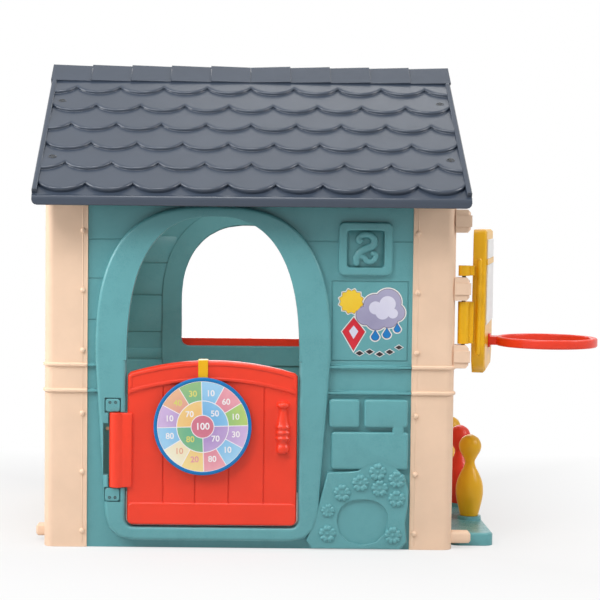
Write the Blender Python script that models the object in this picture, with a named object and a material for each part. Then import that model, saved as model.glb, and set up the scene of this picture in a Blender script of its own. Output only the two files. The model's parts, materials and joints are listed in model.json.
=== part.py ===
"""A children's plastic playhouse: four wall panels, two interlocking tiled roof panels, a half door
with a hung target disc, a shutter-like backboard with a hoop, and three skittles on a tray.
Metres, +Z up, the front faces -Y. The origin is the centre of the box's underside."""

import bmesh
import bpy
from math import asin, cos, pi, radians, sin, tan
from mathutils import Matrix, Vector

# General sizes
CLEARANCE = 0.0003
OVERRUN = 0.005
BITE = 0.001
FLAT = radians(0.05)
CREASE = radians(32)
ROOF_CREASE = radians(28)
SKITTLE_CREASE = radians(40)

# Wall panels: the house box, its skins and its corners
HOUSE_WIDTH = 1.066
HOUSE_DEPTH = 0.86
SIDE_SKIN = 0.004
PANEL_SKIN = 0.0045
CORNER_RADIUS = 0.025
CORNER_STEPS = 3
FLANGE_WIDTH = 0.113
PANEL_UNDERLAP = 0.025
FOOT_WIDTH = 0.03
FOOT_HEIGHT = 0.006

# Belt course and siding boards
BELT_HEIGHTS = (0.409, 0.476)
BELT_HEIGHT = 0.011
BELT_PROUD = 0.005
BELT_CHAMFER = 0.003
SIDING_HEIGHTS = (0.593, 0.700, 0.802)
SIDING_GROOVE = 0.0035
SIDING_DEPTH = 0.0016
SIDING_END = 0.0012

# Roof: slope, tiles, ridge laps and borders
ROOF_LENGTH = 1.11
ROOF_HALF_DEPTH = 0.53
ROOF_PITCH = radians(34.3)
ROOF_APEX = 1.272
ROOF_SKIN = 0.0045
EAVE_DROP = 0.0225
EAVE_SKIN = 0.006
EAVE_ROUND = 0.014
EAVE_ROUND_STEPS = 3
RAKE_SKIRT = 0.018
RAKE_SKIN = 0.005
RAKE_BEAD = 0.012
RAKE_BEAD_PROUD = 0.014
TILE_COUNT = 9
TILE_ROWS = 6
TILE_ROW_PITCH = 0.097
FIRST_TILE_ROW = 0.100
TILE_STEP = 0.0115
TILE_SAG = 0.037
TILE_ARC_STEPS = 5
RIDGE_TILES = 5
RIDGE_LAP = 0.076
RIDGE_LIFT = 0.0072
RIDGE_SKIN = 0.0035
RIDGE_STEP = 0.003
RIDGE_OVERHANG = 0.003
ROOF_SEAT_WIDTH = 0.045
ROOF_SEAT_SKIN = 0.005

# Roof screws
ROOF_SCREW_SLOPES = (0.185, 0.470)
ROOF_SCREW_INSET = 0.038
ROOF_SCREW_HEAD = 0.0062
ROOF_SCREW_SHANK = 0.0028
ROOF_SCREW_HEAD_HEIGHT = 0.004
ROOF_SCREW_WELL = 0.0085
ROOF_SCREW_LENGTH = 0.022
ROOF_SCREW_SEAT = 0.003
SCREW_SIDES = 6

# Rivets through the side flanges and the front and back panels
RIVET_HEIGHTS = (0.042, 0.197, 0.350, 0.514, 0.670, 0.824)
RIVET_INSET = 0.0125
RIVET_HEAD = 0.00725
RIVET_DOME = 0.0045
RIVET_SHANK = 0.003
RIVET_TAIL = 0.0055
RIVET_TAIL_HEIGHT = 0.002
RIVET_CROWN_SHARE = 0.5
RIVET_SIDES = 6

# Door arch: two superellipses on tapering legs
ARCH_X = -0.095
ARCH_SPRING = 0.49
ARCH_INNER_HALF = 0.224
ARCH_INNER_RISE = 0.374
ARCH_INNER_POWER = 2.65
ARCH_OUTER_HALF = 0.304
ARCH_OUTER_RISE = 0.40
ARCH_OUTER_POWER = 2.8
ARCH_OUTER_FOOT_HALF = 0.277
ARCH_STEPS = 16
ARCH_CORNER_STEPS = 3
THRESHOLD_TOP = 0.058
THRESHOLD_BOTTOM = 0.021
ARCH_INNER_CORNER = 0.018
ARCH_OUTER_CORNER = 0.068
ARCH_PROUD = 0.022
ARCH_EDGE = 0.010

# Half door
DOOR_GAP = 0.004
DOOR_SIDE_TOP = 0.4565
DOOR_CROWN = 0.0335
DOOR_CORNER = 0.014
DOOR_THICKNESS = 0.026
DOOR_FACE_SET = 0.004
DOOR_RAIL_PROUD = 0.006
DOOR_TOP_RAIL = 0.051
DOOR_BOTTOM_RAIL = 0.062
DOOR_RAIL_EDGE = 0.004
DOOR_RAIL_RIM = 0.0095
DOOR_RAIL_RECESS = 0.0015
DOOR_ARC_STEPS = 12
DOOR_GROOVES = (-0.222, -0.139, -0.052, 0.039)
DOOR_GROOVE_WIDTH = 0.003
DOOR_GROOVE_DEPTH = 0.002

# Door handle relief, as turned sections up its height
HANDLE_X = 0.088
HANDLE_BOTTOM = 0.252
HANDLE_HEIGHT = 0.135
HANDLE_RADIUS = 0.0195
HANDLE_SIDES = 8
HANDLE_SHARES = (
    (0.00, 0.62), (0.03, 0.86), (0.12, 0.86), (0.18, 0.68), (0.24, 0.80), (0.29, 1.00), (0.34, 0.84),
    (0.40, 1.00), (0.45, 0.84), (0.51, 1.00), (0.57, 0.82), (0.80, 0.50), (0.86, 0.54), (0.90, 0.84),
    (0.96, 0.80), (1.00, 0.45),
)

# Door hinge: barrel, stub pins, caps and cap screws
HINGE_X = -0.342
HINGE_BARREL = 0.020
HINGE_LOW = 0.160
HINGE_HIGH = 0.354
HINGE_SIDES = 12
HINGE_PIN = 0.006
HINGE_PIN_LENGTH = 0.012
HINGE_PIN_GAP = 0.0005
HINGE_AXIS_SET = 0.011
HINGE_PLATE = 0.012
HINGE_RELIEF = 0.0025
HINGE_SLOT_LEFT = -0.377
HINGE_SLOT_LOW = 0.191
HINGE_SLOT_HIGH = 0.3265
CAP_WIDTH = 0.0395
CAP_HEIGHT = 0.036
CAP_LEFT = -0.3725
CAP_GAP = 0.0012
CAP_SCREW_HEAD = 0.0038
CAP_SCREW_SHANK = 0.0018
CAP_SCREW_LENGTH = 0.014
CAP_SCREW_HEAD_HEIGHT = 0.002
CAP_SCREW_SIDE = 0.0072
CAP_SCREW_END = 0.0105

# Target disc and its hook strap
DART_X = -0.120
DART_HEIGHT = 0.322
DART_RADIUS = 0.1265
DART_FACE_RADIUS = 0.1175
DART_THICKNESS = 0.012
DART_FACE_INSET = 0.001
DART_EDGE = 0.0024
DART_SIDES = 28
STRAP_WIDTH = 0.025
STRAP_SKIN = 0.0025
STRAP_FRONT_DROP = 0.11
STRAP_BACK_DROP = 0.05

# Arched windows in the back and side walls
WINDOW_HALF = 0.205
WINDOW_SILL = 0.457
WINDOW_SPRING = 0.60
WINDOW_TOP = 0.837
WINDOW_POWER = 2.3
WINDOW_CORNER = 0.02
WINDOW_FRAME = 0.035
WINDOW_FRAME_PROUD = 0.010
WINDOW_FRAME_EDGE = 0.004
WINDOW_STEPS = 10

# Window counter behind the back window
COUNTER_WIDTH = 0.43
COUNTER_DEPTH = 0.075
COUNTER_TOP = 0.482
COUNTER_SKIN = 0.008
COUNTER_APRON = 0.032
COUNTER_CORNER = 0.03

# House number plaque
PLAQUE_X = 0.2965
PLAQUE_HEIGHT = 0.783
PLAQUE_SIZE = 0.138
PLAQUE_RECESS = 0.096
PLAQUE_CORNER = 0.014
PLAQUE_PROUD = 0.012
PLAQUE_FLOOR = 0.004
PLAQUE_EDGE = 0.004
DIGIT_EDGE = 0.0014
DIGIT_NECK = (
    (-0.0125, 0.0175, 0.0035), (-0.0125, 0.0185, 0.0095), (-0.0195, 0.0245, 0.0075), (-0.0120, 0.0335, 0.0065),
    (0.0025, 0.0370, 0.0065), (0.0170, 0.0325, 0.0070), (0.0235, 0.0210, 0.0080), (0.0190, 0.0095, 0.0085),
    (0.0060, 0.0030, 0.0085), (-0.0100, -0.0045, 0.0080), (-0.0205, -0.0150, 0.0080), (-0.0240, -0.0270, 0.0080),
    (-0.0235, -0.0370, 0.0070),
)
DIGIT_FOOT = (
    (-0.0165, -0.0210, 0.0050), (-0.0050, -0.0215, 0.0060), (0.0040, -0.0310, 0.0065), (0.0150, -0.0325, 0.0060),
    (0.0245, -0.0255, 0.0060), (0.0265, -0.0150, 0.0060), (0.0195, -0.0115, 0.0050),
)

# Bordered flat field for a sticker
FIELD_LEFT = 0.2105
FIELD_RIGHT = 0.4105
FIELD_LOW = 0.491
FIELD_HIGH = 0.700
FIELD_BORDER = 0.003

# Stones and the flower relief
STONE_PROUD = 0.015
STONE_EDGE = 0.004
STONE_CORNER = 0.008
STONES = (
    (0.207, 0.286, 0.3205, 0.393),
    (0.298, 0.411, 0.3205, 0.393),
    (0.214, 0.413, 0.2110, 0.308),
    (0.372, 0.401, 0.3000, 0.328),
)
GARDEN_PROUD = 0.019
GARDEN_EDGE = 0.004
GARDEN_LOW = 0.003
GARDEN_OUTLINE = (
    (0.165, 0.000), (0.395, 0.000), (0.413, 0.020), (0.408, 0.070), (0.414, 0.110), (0.416, 0.155),
    (0.405, 0.190), (0.380, 0.215), (0.345, 0.229), (0.310, 0.222), (0.285, 0.205), (0.262, 0.202),
    (0.205, 0.200), (0.184, 0.120), (0.166, 0.060), (0.151, 0.022),
)
FLOWER_PROUD = 0.0042
FLOWER_RADIUS = 0.0235
FLOWER_BOSS = 0.0042
FLOWER_BOSS_PROUD = 0.0012
FLOWER_BOSS_SIDES = 6
PETALS = 5
PETAL_POINTS = ((radians(-22), 0.90), (0, 1.00), (radians(22), 0.90), (radians(36), 0.66))
PETAL_CROWN_SHARE = 0.72
FLOWERS = (
    (0.334, 0.205, 1.0), (0.290, 0.176, 1.0), (0.340, 0.163, 1.0), (0.384, 0.186, 1.0),
    (0.243, 0.150, 1.0), (0.384, 0.136, 1.0), (0.207, 0.103, 0.8), (0.206, 0.043, 1.0),
    (0.376, 0.040, 1.0),
)
CARTOUCHE_X = 0.297
CARTOUCHE_LOW = 0.014
CARTOUCHE_HEIGHT = 0.120
CARTOUCHE_HALF = 0.067
CARTOUCHE_POWER = 2.4
CARTOUCHE_STEPS = 10
CARTOUCHE_DEPTH = 0.006

# Knuckles at a side wall's corner, and its foot lugs
KNUCKLE_HEIGHTS = (0.505, 0.681, 0.857)
KNUCKLE_HEIGHT = 0.060
KNUCKLE_Y = -0.400
KNUCKLE_DEPTH = 0.044
KNUCKLE_PROUD = 0.036
KNUCKLE_CHAMFER = 0.008
KNUCKLE_BAND = 0.030
KNUCKLE_BAND_PROUD = 0.0025
LUG_Y = -0.395
LUG_LENGTH = 0.050
LUG_WIDTH = 0.040
LUG_LOW = 0.015
LUG_HIGH = 0.044
REAR_LUG_Y = 0.345
REAR_LUG_LENGTH = 0.027

# Backboard, its hinge, panel and hoop
BOARD_AXIS = 0.023
BOARD_REST = radians(12)
BOARD_BARREL = 0.0145
BOARD_ROD = 0.005
BOARD_ROD_GAP = 0.0005
ROD_SIDES = 8
BOARD_BACK = 0.020
BOARD_THICKNESS = 0.035
BOARD_LOW = 0.457
BOARD_HIGH = 0.835
BOARD_NEAR = 0.020
BOARD_WIDTH = 0.370
BOARD_EDGE = 0.006
BOARD_TAB_LOW = 0.7150
BOARD_TAB_HIGH = 0.742
BOARD_GAP = 0.003
BOARD_SHARES = (
    (0.13, 0.00), (0.87, 0.00), (0.985, 0.09), (1.00, 0.22), (0.93, 0.97), (0.90, 1.00), (0.10, 1.00),
    (0.07, 0.97), (0.00, 0.22), (0.015, 0.09),
)
PANEL_BORDER = 0.026
PANEL_THICK = 0.003
CROSSBAR_SHARE = 0.775
CROSSBAR_WIDTH = 0.016
PANEL_LIFT = 0.033
RIB_RADIUS = 0.0065
RIB_SHARES = (0.13, 0.80)
RIB_END = 0.006
RIB_END_SHARE = 0.45
HOOP_HEIGHT = 0.534
HOOP_RADIUS = 0.135
HOOP_BAND = 0.0235
HOOP_SKIN = 0.012
HOOP_OFFSET = 0.155
HOOP_SIDES = 24
HOOP_STEM_WIDTH = 0.055
HOOP_STEM_HEIGHT = 0.022
HOOP_FLANGE = 0.006

# Skittles on their tray
SKITTLE_HEIGHT = 0.224
SKITTLE_RADIUS = 0.0375
SKITTLE_SIDES = 12
SOCKET_SIDES = 8
SKITTLE_SHARES = (
    (0.000, 0.66), (0.20, 0.94), (0.32, 1.00), (0.42, 0.92), (0.52, 0.68), (0.60, 0.44),
    (0.67, 0.36), (0.74, 0.56), (0.81, 0.77), (0.88, 0.81), (0.95, 0.62), (1.00, 0.14),
)
SKITTLE_PITCH = 0.20
SKITTLE_FIRST_Y = -0.165
SKITTLE_OUT = 0.082
TRAY_LOW = 0.0
TRAY_TOP = 0.034
TRAY_SEAT = 0.044
TRAY_WIDTH = 0.118
TRAY_FRONT_Y = -0.370
TRAY_BACK_Y = 0.310
TRAY_CORNER = 0.025
TRAY_SKIN = 0.005
TRAY_BOSS = 0.033
TRAY_PEG = 0.010
TRAY_PEG_HEIGHT = 0.012
TRAY_SIDES = 10
SOCKET_RADIUS = 0.013
SOCKET_DEPTH = 0.016

# Colours: linear base colour, roughness
TEAL = ((0.117, 0.351, 0.376), 0.42)
BEIGE = ((0.855, 0.610, 0.440), 0.45)
SLATE = ((0.127, 0.150, 0.195), 0.40)
RED = ((0.830, 0.042, 0.022), 0.38)
YELLOW = ((0.730, 0.430, 0.008), 0.38)
BLUE = ((0.007, 0.130, 0.402), 0.45)
WHITE = ((0.850, 0.850, 0.840), 0.40)
STEEL = ((0.050, 0.055, 0.060), 0.35)

# Turns of a softened rim: one flat chamfer, or two facets of a round
CHAMFER = (0, pi / 2)
ROUND = (0, pi / 4, pi / 2)

# Derived places
HALF_WIDTH = HOUSE_WIDTH / 2
HALF_DEPTH = HOUSE_DEPTH / 2
PANEL_FACE = HALF_DEPTH - SIDE_SKIN - CLEARANCE
PANEL_BACK = PANEL_FACE - PANEL_SKIN
FLANGE_EDGE = HALF_WIDTH - FLANGE_WIDTH
PANEL_HALF = FLANGE_EDGE + PANEL_UNDERLAP
ARCH_FACE = PANEL_FACE + ARCH_PROUD
SLOPE = tan(ROOF_PITCH)
ROOF_SLANT = ROOF_HALF_DEPTH / cos(ROOF_PITCH)
ROOF_UNDER = ROOF_APEX - (ROOF_SKIN + CLEARANCE) / cos(ROOF_PITCH)
TILE_WIDTH = (ROOF_LENGTH - 2 * RAKE_BEAD) / TILE_COUNT
CROSSBAR_MIDDLE = BOARD_LOW + (BOARD_HIGH - BOARD_LOW) * CROSSBAR_SHARE
PANEL_LOW = HOOP_HEIGHT + HOOP_BAND / 2 + HOOP_FLANGE + PANEL_LIFT
PANEL_HIGH = BOARD_HIGH - PANEL_BORDER


def place(axis, a, b, c):
    """A point from two outline coordinates and the distance c along the axis."""
    if axis == "X":
        return (c, a, b)
    if axis == "Y":
        return (a, c, b)
    return (a, b, c)


def prism(outline, low, high, axis="Y"):
    """The outline as a solid from low to high along the axis."""
    return loft([[place(axis, a, b, c) for a, b in outline] for c in (low, high)])


def loft(loops, ring=False):
    """Faces between loops of equally many points. A ring closes on itself, anything else gets two ends."""
    shape = bmesh.new()
    rows = [[shape.verts.new(point) for point in loop] for loop in loops]
    pairs = list(zip(rows, rows[1:]))
    if ring:
        pairs.append((rows[-1], rows[0]))
    else:
        shape.faces.new(rows[0])
        shape.faces.new(rows[-1])
    for low, high in pairs:
        for i in range(len(low)):
            j = (i + 1) % len(low)
            shape.faces.new((low[i], low[j], high[j], high[i]))
    return shape


def inset(outline, distance):
    """The outline moved inwards by a distance, each corner along its mitre."""
    points = [Vector(point) for point in outline]
    area = sum(a.x * b.y - a.y * b.x for a, b in zip(points, points[1:] + points[:1]))
    turn = 1 if area > 0 else -1
    moved = []
    for before, here, after in zip(points[-1:] + points[:-1], points, points[1:] + points[:1]):
        first = (here - before).normalized()
        second = (after - here).normalized()
        mitre = Vector((-first.y - second.y, first.x + second.x)) * turn
        moved.append(here + mitre * (2 * distance / mitre.length_squared))
    return [(point.x, point.y) for point in moved]


def relief(outline, base, face, edge, axis="Y", turns=CHAMFER):
    """A raised shape whose rim is chamfered or rounds over towards its face."""
    back = edge if face > base else -edge
    steps = [(outline, base)]
    for turn in turns:
        steps.append((inset(outline, edge * (1 - cos(turn))), face - back * (1 - sin(turn))))
    return loft([[place(axis, a, b, c) for a, b in points] for points, c in steps])


def frame_ring(inner, outer, back, face, edge, axis="Y", turns=CHAMFER):
    """A border between two outlines of equally many points, both of its rims softened at the face."""
    drop = edge if face > back else -edge
    steps = [(outer, back)]
    for turn in turns:
        steps.append((inset(outer, edge * (1 - cos(turn))), face - drop * (1 - sin(turn))))
    for turn in reversed(turns):
        steps.append((inset(inner, -edge * (1 - cos(turn))), face - drop * (1 - sin(turn))))
    steps.append((inner, back))
    return loft([[place(axis, a, b, c) for a, b in points] for points, c in steps], ring=True)


def box(x, y, z):
    """A block from three pairs of limits."""
    return prism([(x[0], z[0]), (x[1], z[0]), (x[1], z[1]), (x[0], z[1])], y[0], y[1])


def circle(centre, radius, sides, start=0.0):
    """Points of a circle as an outline."""
    turns = [start + 2 * pi * i / sides for i in range(sides)]
    return [(centre[0] + radius * cos(turn), centre[1] + radius * sin(turn)) for turn in turns]


def rod(centre, radius, low, high, sides, axis="Z"):
    """A round bar along the axis."""
    return prism(circle(centre, radius, sides), low, high, axis)


def turned(centre, profile, sides, axis="Z"):
    """A solid of revolution from (distance, radius) steps."""
    return loft([[place(axis, a, b, c) for a, b in circle(centre, r, sides)] for c, r in profile])


def rounded(left, right, low, high, corner, steps=3):
    """A rectangle with round corners, as an outline."""
    points = []
    for x, z, start in (
        (right - corner, low + corner, -pi / 2), (right - corner, high - corner, 0.0),
        (left + corner, high - corner, pi / 2), (left + corner, low + corner, pi),
    ):
        for i in range(steps + 1):
            turn = start + pi / 2 * i / steps
            points.append((x + corner * cos(turn), z + corner * sin(turn)))
    return points


def arch(centre, half, foot_half, spring, rise, power, bottom, corner, steps):
    """An arched opening: a superellipse over legs with round feet, anticlockwise from the left foot."""
    points = []
    for side, start in ((-1, pi), (1, -pi / 2)):
        for i in range(ARCH_CORNER_STEPS + 1):
            turn = start + pi / 2 * i / ARCH_CORNER_STEPS
            points.append((
                centre + side * (foot_half - corner) + corner * cos(turn),
                bottom + corner + corner * sin(turn),
            ))
    for i in range(steps + 1):
        turn = pi * i / steps
        across = abs(cos(turn)) ** (2 / power)
        points.append((
            centre + half * (across if turn < pi / 2 else -across),
            spring + rise * abs(sin(turn)) ** (2 / power),
        ))
    return points


def pooled(shapes):
    """Several shapes as one mesh, for a single cut or join."""
    pool = bmesh.new()
    for shape in shapes:
        scrap = bpy.data.meshes.new("scrap")
        shape.to_mesh(scrap)
        shape.free()
        pool.from_mesh(scrap)
        bpy.data.meshes.remove(scrap)
    return pool


def moved(shape, matrix):
    """The shape after a rotation or a shift."""
    bmesh.ops.transform(shape, matrix=matrix, verts=shape.verts)
    return shape


def finish(look, name):
    """A plain plastic or metal finish."""
    colour, rough = look
    material = bpy.data.materials.get(name) or bpy.data.materials.new(name)
    material.use_nodes = True
    shader = material.node_tree.nodes["Principled BSDF"]
    shader.inputs["Base Color"].default_value = (*colour, 1)
    shader.inputs["Roughness"].default_value = rough
    shader.inputs["Metallic"].default_value = 1.0 if name == "steel" else 0.0
    return material


FINISHES = {
    "teal": TEAL, "beige": BEIGE, "slate": SLATE, "red": RED,
    "yellow": YELLOW, "blue": BLUE, "white": WHITE, "steel": STEEL,
}


def piece(name, shape, colour, parent):
    """A named object made from a shape."""
    bmesh.ops.recalc_face_normals(shape, faces=shape.faces)
    mesh = bpy.data.meshes.new(name)
    shape.to_mesh(mesh)
    shape.free()
    mesh.materials.append(finish(FINISHES[colour], colour))
    made = bpy.data.objects.new(name, mesh)
    made.parent = parent
    bpy.context.collection.objects.link(made)
    return made


def combine(body, shape, operation, crossing=False):
    """Joins a shape to an object or cuts it out, and keeps the result as the object's mesh."""
    bmesh.ops.recalc_face_normals(shape, faces=shape.faces)
    mesh = bpy.data.meshes.new("tool")
    shape.to_mesh(mesh)
    shape.free()
    tool = bpy.data.objects.new("tool", mesh)
    tool.parent = body.parent
    bpy.context.collection.objects.link(tool)
    change = body.modifiers.new(operation.lower(), "BOOLEAN")
    change.operation = operation
    change.object = tool
    change.use_self = crossing
    graph = bpy.context.evaluated_depsgraph_get()
    made = bpy.data.meshes.new_from_object(body.evaluated_get(graph))
    body.modifiers.clear()
    body.data = made
    bpy.data.objects.remove(tool)


def join(body, *shapes, crossing=False):
    """Adds shapes to an object as one body."""
    combine(body, pooled(shapes), "UNION", crossing)


def cut(body, *shapes):
    """Takes shapes out of an object."""
    combine(body, pooled(shapes), "DIFFERENCE")


def smooth(body, angle=CREASE):
    """Clears the flat edges that cuts and joins leave, shades round surfaces smooth and keeps hard edges."""
    shape = bmesh.new()
    shape.from_mesh(body.data)
    bmesh.ops.dissolve_limit(shape, angle_limit=FLAT, verts=shape.verts, edges=shape.edges)
    shape.to_mesh(body.data)
    shape.free()
    body.data.shade_smooth()
    body.data.set_sharp_from_angle(angle=angle)


def side_plan(proud, skin):
    """A side wall seen from above: its face, its round corners and the flanges that wrap front and back."""
    rows = []
    for grow in (proud, -skin):
        row = [(FLANGE_EDGE, -HALF_DEPTH - grow)]
        for side, start in ((-1, -pi / 2), (1, 0.0)):
            for i in range(CORNER_STEPS + 1):
                turn = start + pi / 2 * i / CORNER_STEPS
                row.append((
                    HALF_WIDTH - CORNER_RADIUS + (CORNER_RADIUS + grow) * cos(turn),
                    side * (HALF_DEPTH - CORNER_RADIUS) + (CORNER_RADIUS + grow) * sin(turn),
                ))
        row.append((FLANGE_EDGE, HALF_DEPTH + grow))
        rows.append(row)
    return rows[0] + rows[1][::-1]


def under_roof(y, drop=0.0):
    """Height of the roof's underside, less a drop square to the slope."""
    return ROOF_UNDER - drop / cos(ROOF_PITCH) - abs(y) * SLOPE


def side_wall_mesh(parent):
    """One side moulding: gable wall, flanges, belt, window frame, knuckles, lugs and roof seat."""
    wall = piece("right_wall", prism(side_plan(0, SIDE_SKIN), -OVERRUN, ROOF_APEX, "Z"), "beige", parent)
    near = HALF_DEPTH - SIDE_SKIN - CORNER_RADIUS
    join(wall, box((HALF_WIDTH - FOOT_WIDTH, HALF_WIDTH - BITE), (-near, near), (-2 * OVERRUN, FOOT_HEIGHT)))
    seat = [(y, under_roof(y, ROOF_SEAT_SKIN)) for y in (-near, 0, near)]
    seat += [(near, ROOF_APEX + OVERRUN), (-near, ROOF_APEX + OVERRUN)]
    join(wall, prism(seat, HALF_WIDTH - ROOF_SEAT_WIDTH - SIDE_SKIN, HALF_WIDTH - BITE, "X"))
    far = HALF_DEPTH + OVERRUN
    gable = [(-far, 0), (far, 0), (far, under_roof(far)), (0, under_roof(0)), (-far, under_roof(far))]
    combine(wall, prism(gable, 0, HOUSE_WIDTH, "X"), "INTERSECT")
    belts = []
    for height in BELT_HEIGHTS:
        low, high = height - BELT_HEIGHT / 2, height + BELT_HEIGHT / 2
        steps = ((0, low), (BELT_PROUD, low + BELT_CHAMFER), (BELT_PROUD, high - BELT_CHAMFER), (0, high))
        belts.append(loft([[(x, y, z) for x, y in side_plan(p, SIDE_SKIN - BITE)] for p, z in steps]))
    join(wall, *belts)
    cut(wall, prism(window(BITE), HALF_WIDTH - OVERRUN - SIDE_SKIN, HALF_WIDTH + OVERRUN, "X"))
    join(wall, window_frame(HALF_WIDTH - SIDE_SKIN, HALF_WIDTH + WINDOW_FRAME_PROUD, "X"))
    add_knuckles(wall)
    add_lugs(wall)
    cut(wall, *rivet_holes(HALF_DEPTH - SIDE_SKIN, HALF_DEPTH))
    cut(wall, *[roof_screw(x, down, face, True) for x, down, face in roof_screw_places() if x > 0])
    smooth(wall)
    return wall


def window(shrink=0.0):
    """The arched window's outline."""
    return arch(
        0, WINDOW_HALF - shrink, WINDOW_HALF - shrink, WINDOW_SPRING, WINDOW_TOP - WINDOW_SPRING - shrink,
        WINDOW_POWER, WINDOW_SILL + shrink, WINDOW_CORNER, WINDOW_STEPS,
    )


def window_frame(back, face, axis):
    """The raised border round a window."""
    inner = window()
    return frame_ring(inner, inset(inner, -WINDOW_FRAME), back, face, WINDOW_FRAME_EDGE, axis)


def add_knuckles(wall):
    """Three hinge knuckles down a corner, each with a wider band, bored for the board's rod."""
    axis = HALF_WIDTH + BOARD_AXIS
    root = HALF_WIDTH - SIDE_SKIN
    for height in KNUCKLE_HEIGHTS:
        half = KNUCKLE_HEIGHT / 2
        y = (KNUCKLE_Y - KNUCKLE_DEPTH / 2, KNUCKLE_Y + KNUCKLE_DEPTH / 2)
        block = [(y[0], height - half), (y[1], height - half), (y[1], height + half), (y[0], height + half)]
        join(wall, relief(block, root, HALF_WIDTH + KNUCKLE_PROUD, KNUCKLE_CHAMFER, "X"))
        more = KNUCKLE_BAND_PROUD
        band = (height - KNUCKLE_BAND / 2, height + KNUCKLE_BAND / 2)
        join(wall, box((root, HALF_WIDTH + KNUCKLE_PROUD + more), (y[0] - more, y[1] + more), band))
    low = KNUCKLE_HEIGHTS[0] - KNUCKLE_HEIGHT
    high = KNUCKLE_HEIGHTS[1] + KNUCKLE_HEIGHT
    cut(wall, rod((axis, KNUCKLE_Y), BOARD_ROD + BOARD_ROD_GAP, low, high, ROD_SIDES))


def add_lugs(wall):
    """A long foot lug near one corner and a short one near the other."""
    for y, length in ((LUG_Y, LUG_LENGTH), (REAR_LUG_Y, REAR_LUG_LENGTH)):
        outline = rounded(y - LUG_WIDTH / 2, y + LUG_WIDTH / 2, LUG_LOW, LUG_HIGH, BELT_PROUD, 1)
        join(wall, relief(outline, HALF_WIDTH - SIDE_SKIN, HALF_WIDTH + length, BELT_PROUD, "X"))


def rivet_places():
    """Where rivets go on one face: x and z."""
    x = FLANGE_EDGE + RIVET_INSET
    return [(side * x, z) for side in (-1, 1) for z in RIVET_HEIGHTS]


def rivet_holes(low, high):
    """Holes for the rivets in the front and back faces between two depths."""
    radius = RIVET_SHANK + CLEARANCE
    spans = ((low - OVERRUN, high + OVERRUN), (-high - OVERRUN, -low + OVERRUN))
    return [rod(spot, radius, *span, RIVET_SIDES, "Y") for span in spans for spot in rivet_places()]


def rivet(name, x, z, side, parent):
    """A round headed rivet with its clinched tail inside the wall."""
    face = HALF_DEPTH + CLEARANCE
    tail = PANEL_BACK - CLEARANCE
    profile = [
        (tail - RIVET_TAIL_HEIGHT, RIVET_TAIL), (tail, RIVET_SHANK), (face, RIVET_SHANK), (face, RIVET_HEAD),
        (face + RIVET_DOME, RIVET_HEAD * RIVET_CROWN_SHARE),
    ]
    made = piece(name, turned((x, z), [(side * c, r) for c, r in profile], RIVET_SIDES, "Y"), "beige", parent)
    smooth(made)
    return made


def wall_top():
    """Height of the front and back panels under the roof."""
    return under_roof(HALF_DEPTH) - CLEARANCE


def belt_bar(left, right, height):
    """One moulded belt ridge across a panel, facing -Y."""
    low, high = height - BELT_HEIGHT / 2, height + BELT_HEIGHT / 2
    face = -HALF_DEPTH - BELT_PROUD
    back = -PANEL_FACE + BITE
    outline = [(back, low), (-PANEL_FACE, low), (face, low + BELT_CHAMFER), (face, high - BELT_CHAMFER)]
    outline += [(-PANEL_FACE, high), (back, high)]
    return prism(outline, left, right, "X")


def groove(left, right, low, high):
    """A shallow cut in a panel's face."""
    return box((left, right), (-PANEL_FACE - OVERRUN, -PANEL_FACE + SIDING_DEPTH), (low, high))


def panel_blank(name, parent):
    """A plain panel facing -Y between the side flanges, with its rivet holes."""
    wall = piece(
        name, box((-PANEL_HALF, PANEL_HALF), (-PANEL_FACE, -PANEL_BACK), (0, wall_top())), "teal", parent,
    )
    holes = [
        rod(spot, RIVET_SHANK + CLEARANCE, -PANEL_FACE - OVERRUN, -PANEL_BACK + OVERRUN, RIVET_SIDES, "Y")
        for spot in rivet_places()
    ]
    cut(wall, *holes)
    return wall


def arch_inner():
    """Outline of the doorway."""
    return arch(
        ARCH_X, ARCH_INNER_HALF, ARCH_INNER_HALF, ARCH_SPRING, ARCH_INNER_RISE, ARCH_INNER_POWER,
        THRESHOLD_TOP, ARCH_INNER_CORNER, ARCH_STEPS,
    )


def arch_outer():
    """Outer outline of the raised frame round the doorway."""
    return arch(
        ARCH_X, ARCH_OUTER_HALF, ARCH_OUTER_FOOT_HALF, ARCH_SPRING, ARCH_OUTER_RISE, ARCH_OUTER_POWER,
        THRESHOLD_BOTTOM, ARCH_OUTER_CORNER, ARCH_STEPS,
    )


def front_wall(parent):
    """The front panel with all of its moulded relief."""
    wall = panel_blank("front_wall", parent)
    edge = FLANGE_EDGE - SIDING_END
    half = SIDING_GROOVE / 2
    cuts = [groove(-edge, ARCH_X, z - half, z + half) for z in SIDING_HEIGHTS]
    cuts += [groove(ARCH_X, edge, z - half, z + half) for z in SIDING_HEIGHTS[2:]]
    cut(wall, *cuts)
    field = [(FIELD_LEFT, FIELD_LOW), (FIELD_RIGHT, FIELD_LOW), (FIELD_RIGHT, FIELD_HIGH), (FIELD_LEFT, FIELD_HIGH)]
    border = [[place("Y", a, b, c) for a, b in points] for points, c in (
        (field, -PANEL_FACE - OVERRUN), (field, -PANEL_FACE + SIDING_DEPTH),
        (inset(field, FIELD_BORDER), -PANEL_FACE + SIDING_DEPTH),
        (inset(field, FIELD_BORDER), -PANEL_FACE - OVERRUN),
    )]
    cut(wall, loft(border, ring=True))
    join(wall, *[belt_bar(-edge, edge, z) for z in BELT_HEIGHTS])
    cut(wall, prism(inset(arch_inner(), -BITE), -ARCH_FACE, -PANEL_BACK + OVERRUN))
    join(wall, frame_ring(arch_inner(), arch_outer(), -PANEL_BACK, -ARCH_FACE, ARCH_EDGE, turns=ROUND))
    add_stones(wall)
    add_garden(wall)
    add_plaque(wall)
    add_door_seats(wall)
    smooth(wall)
    return wall


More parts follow.
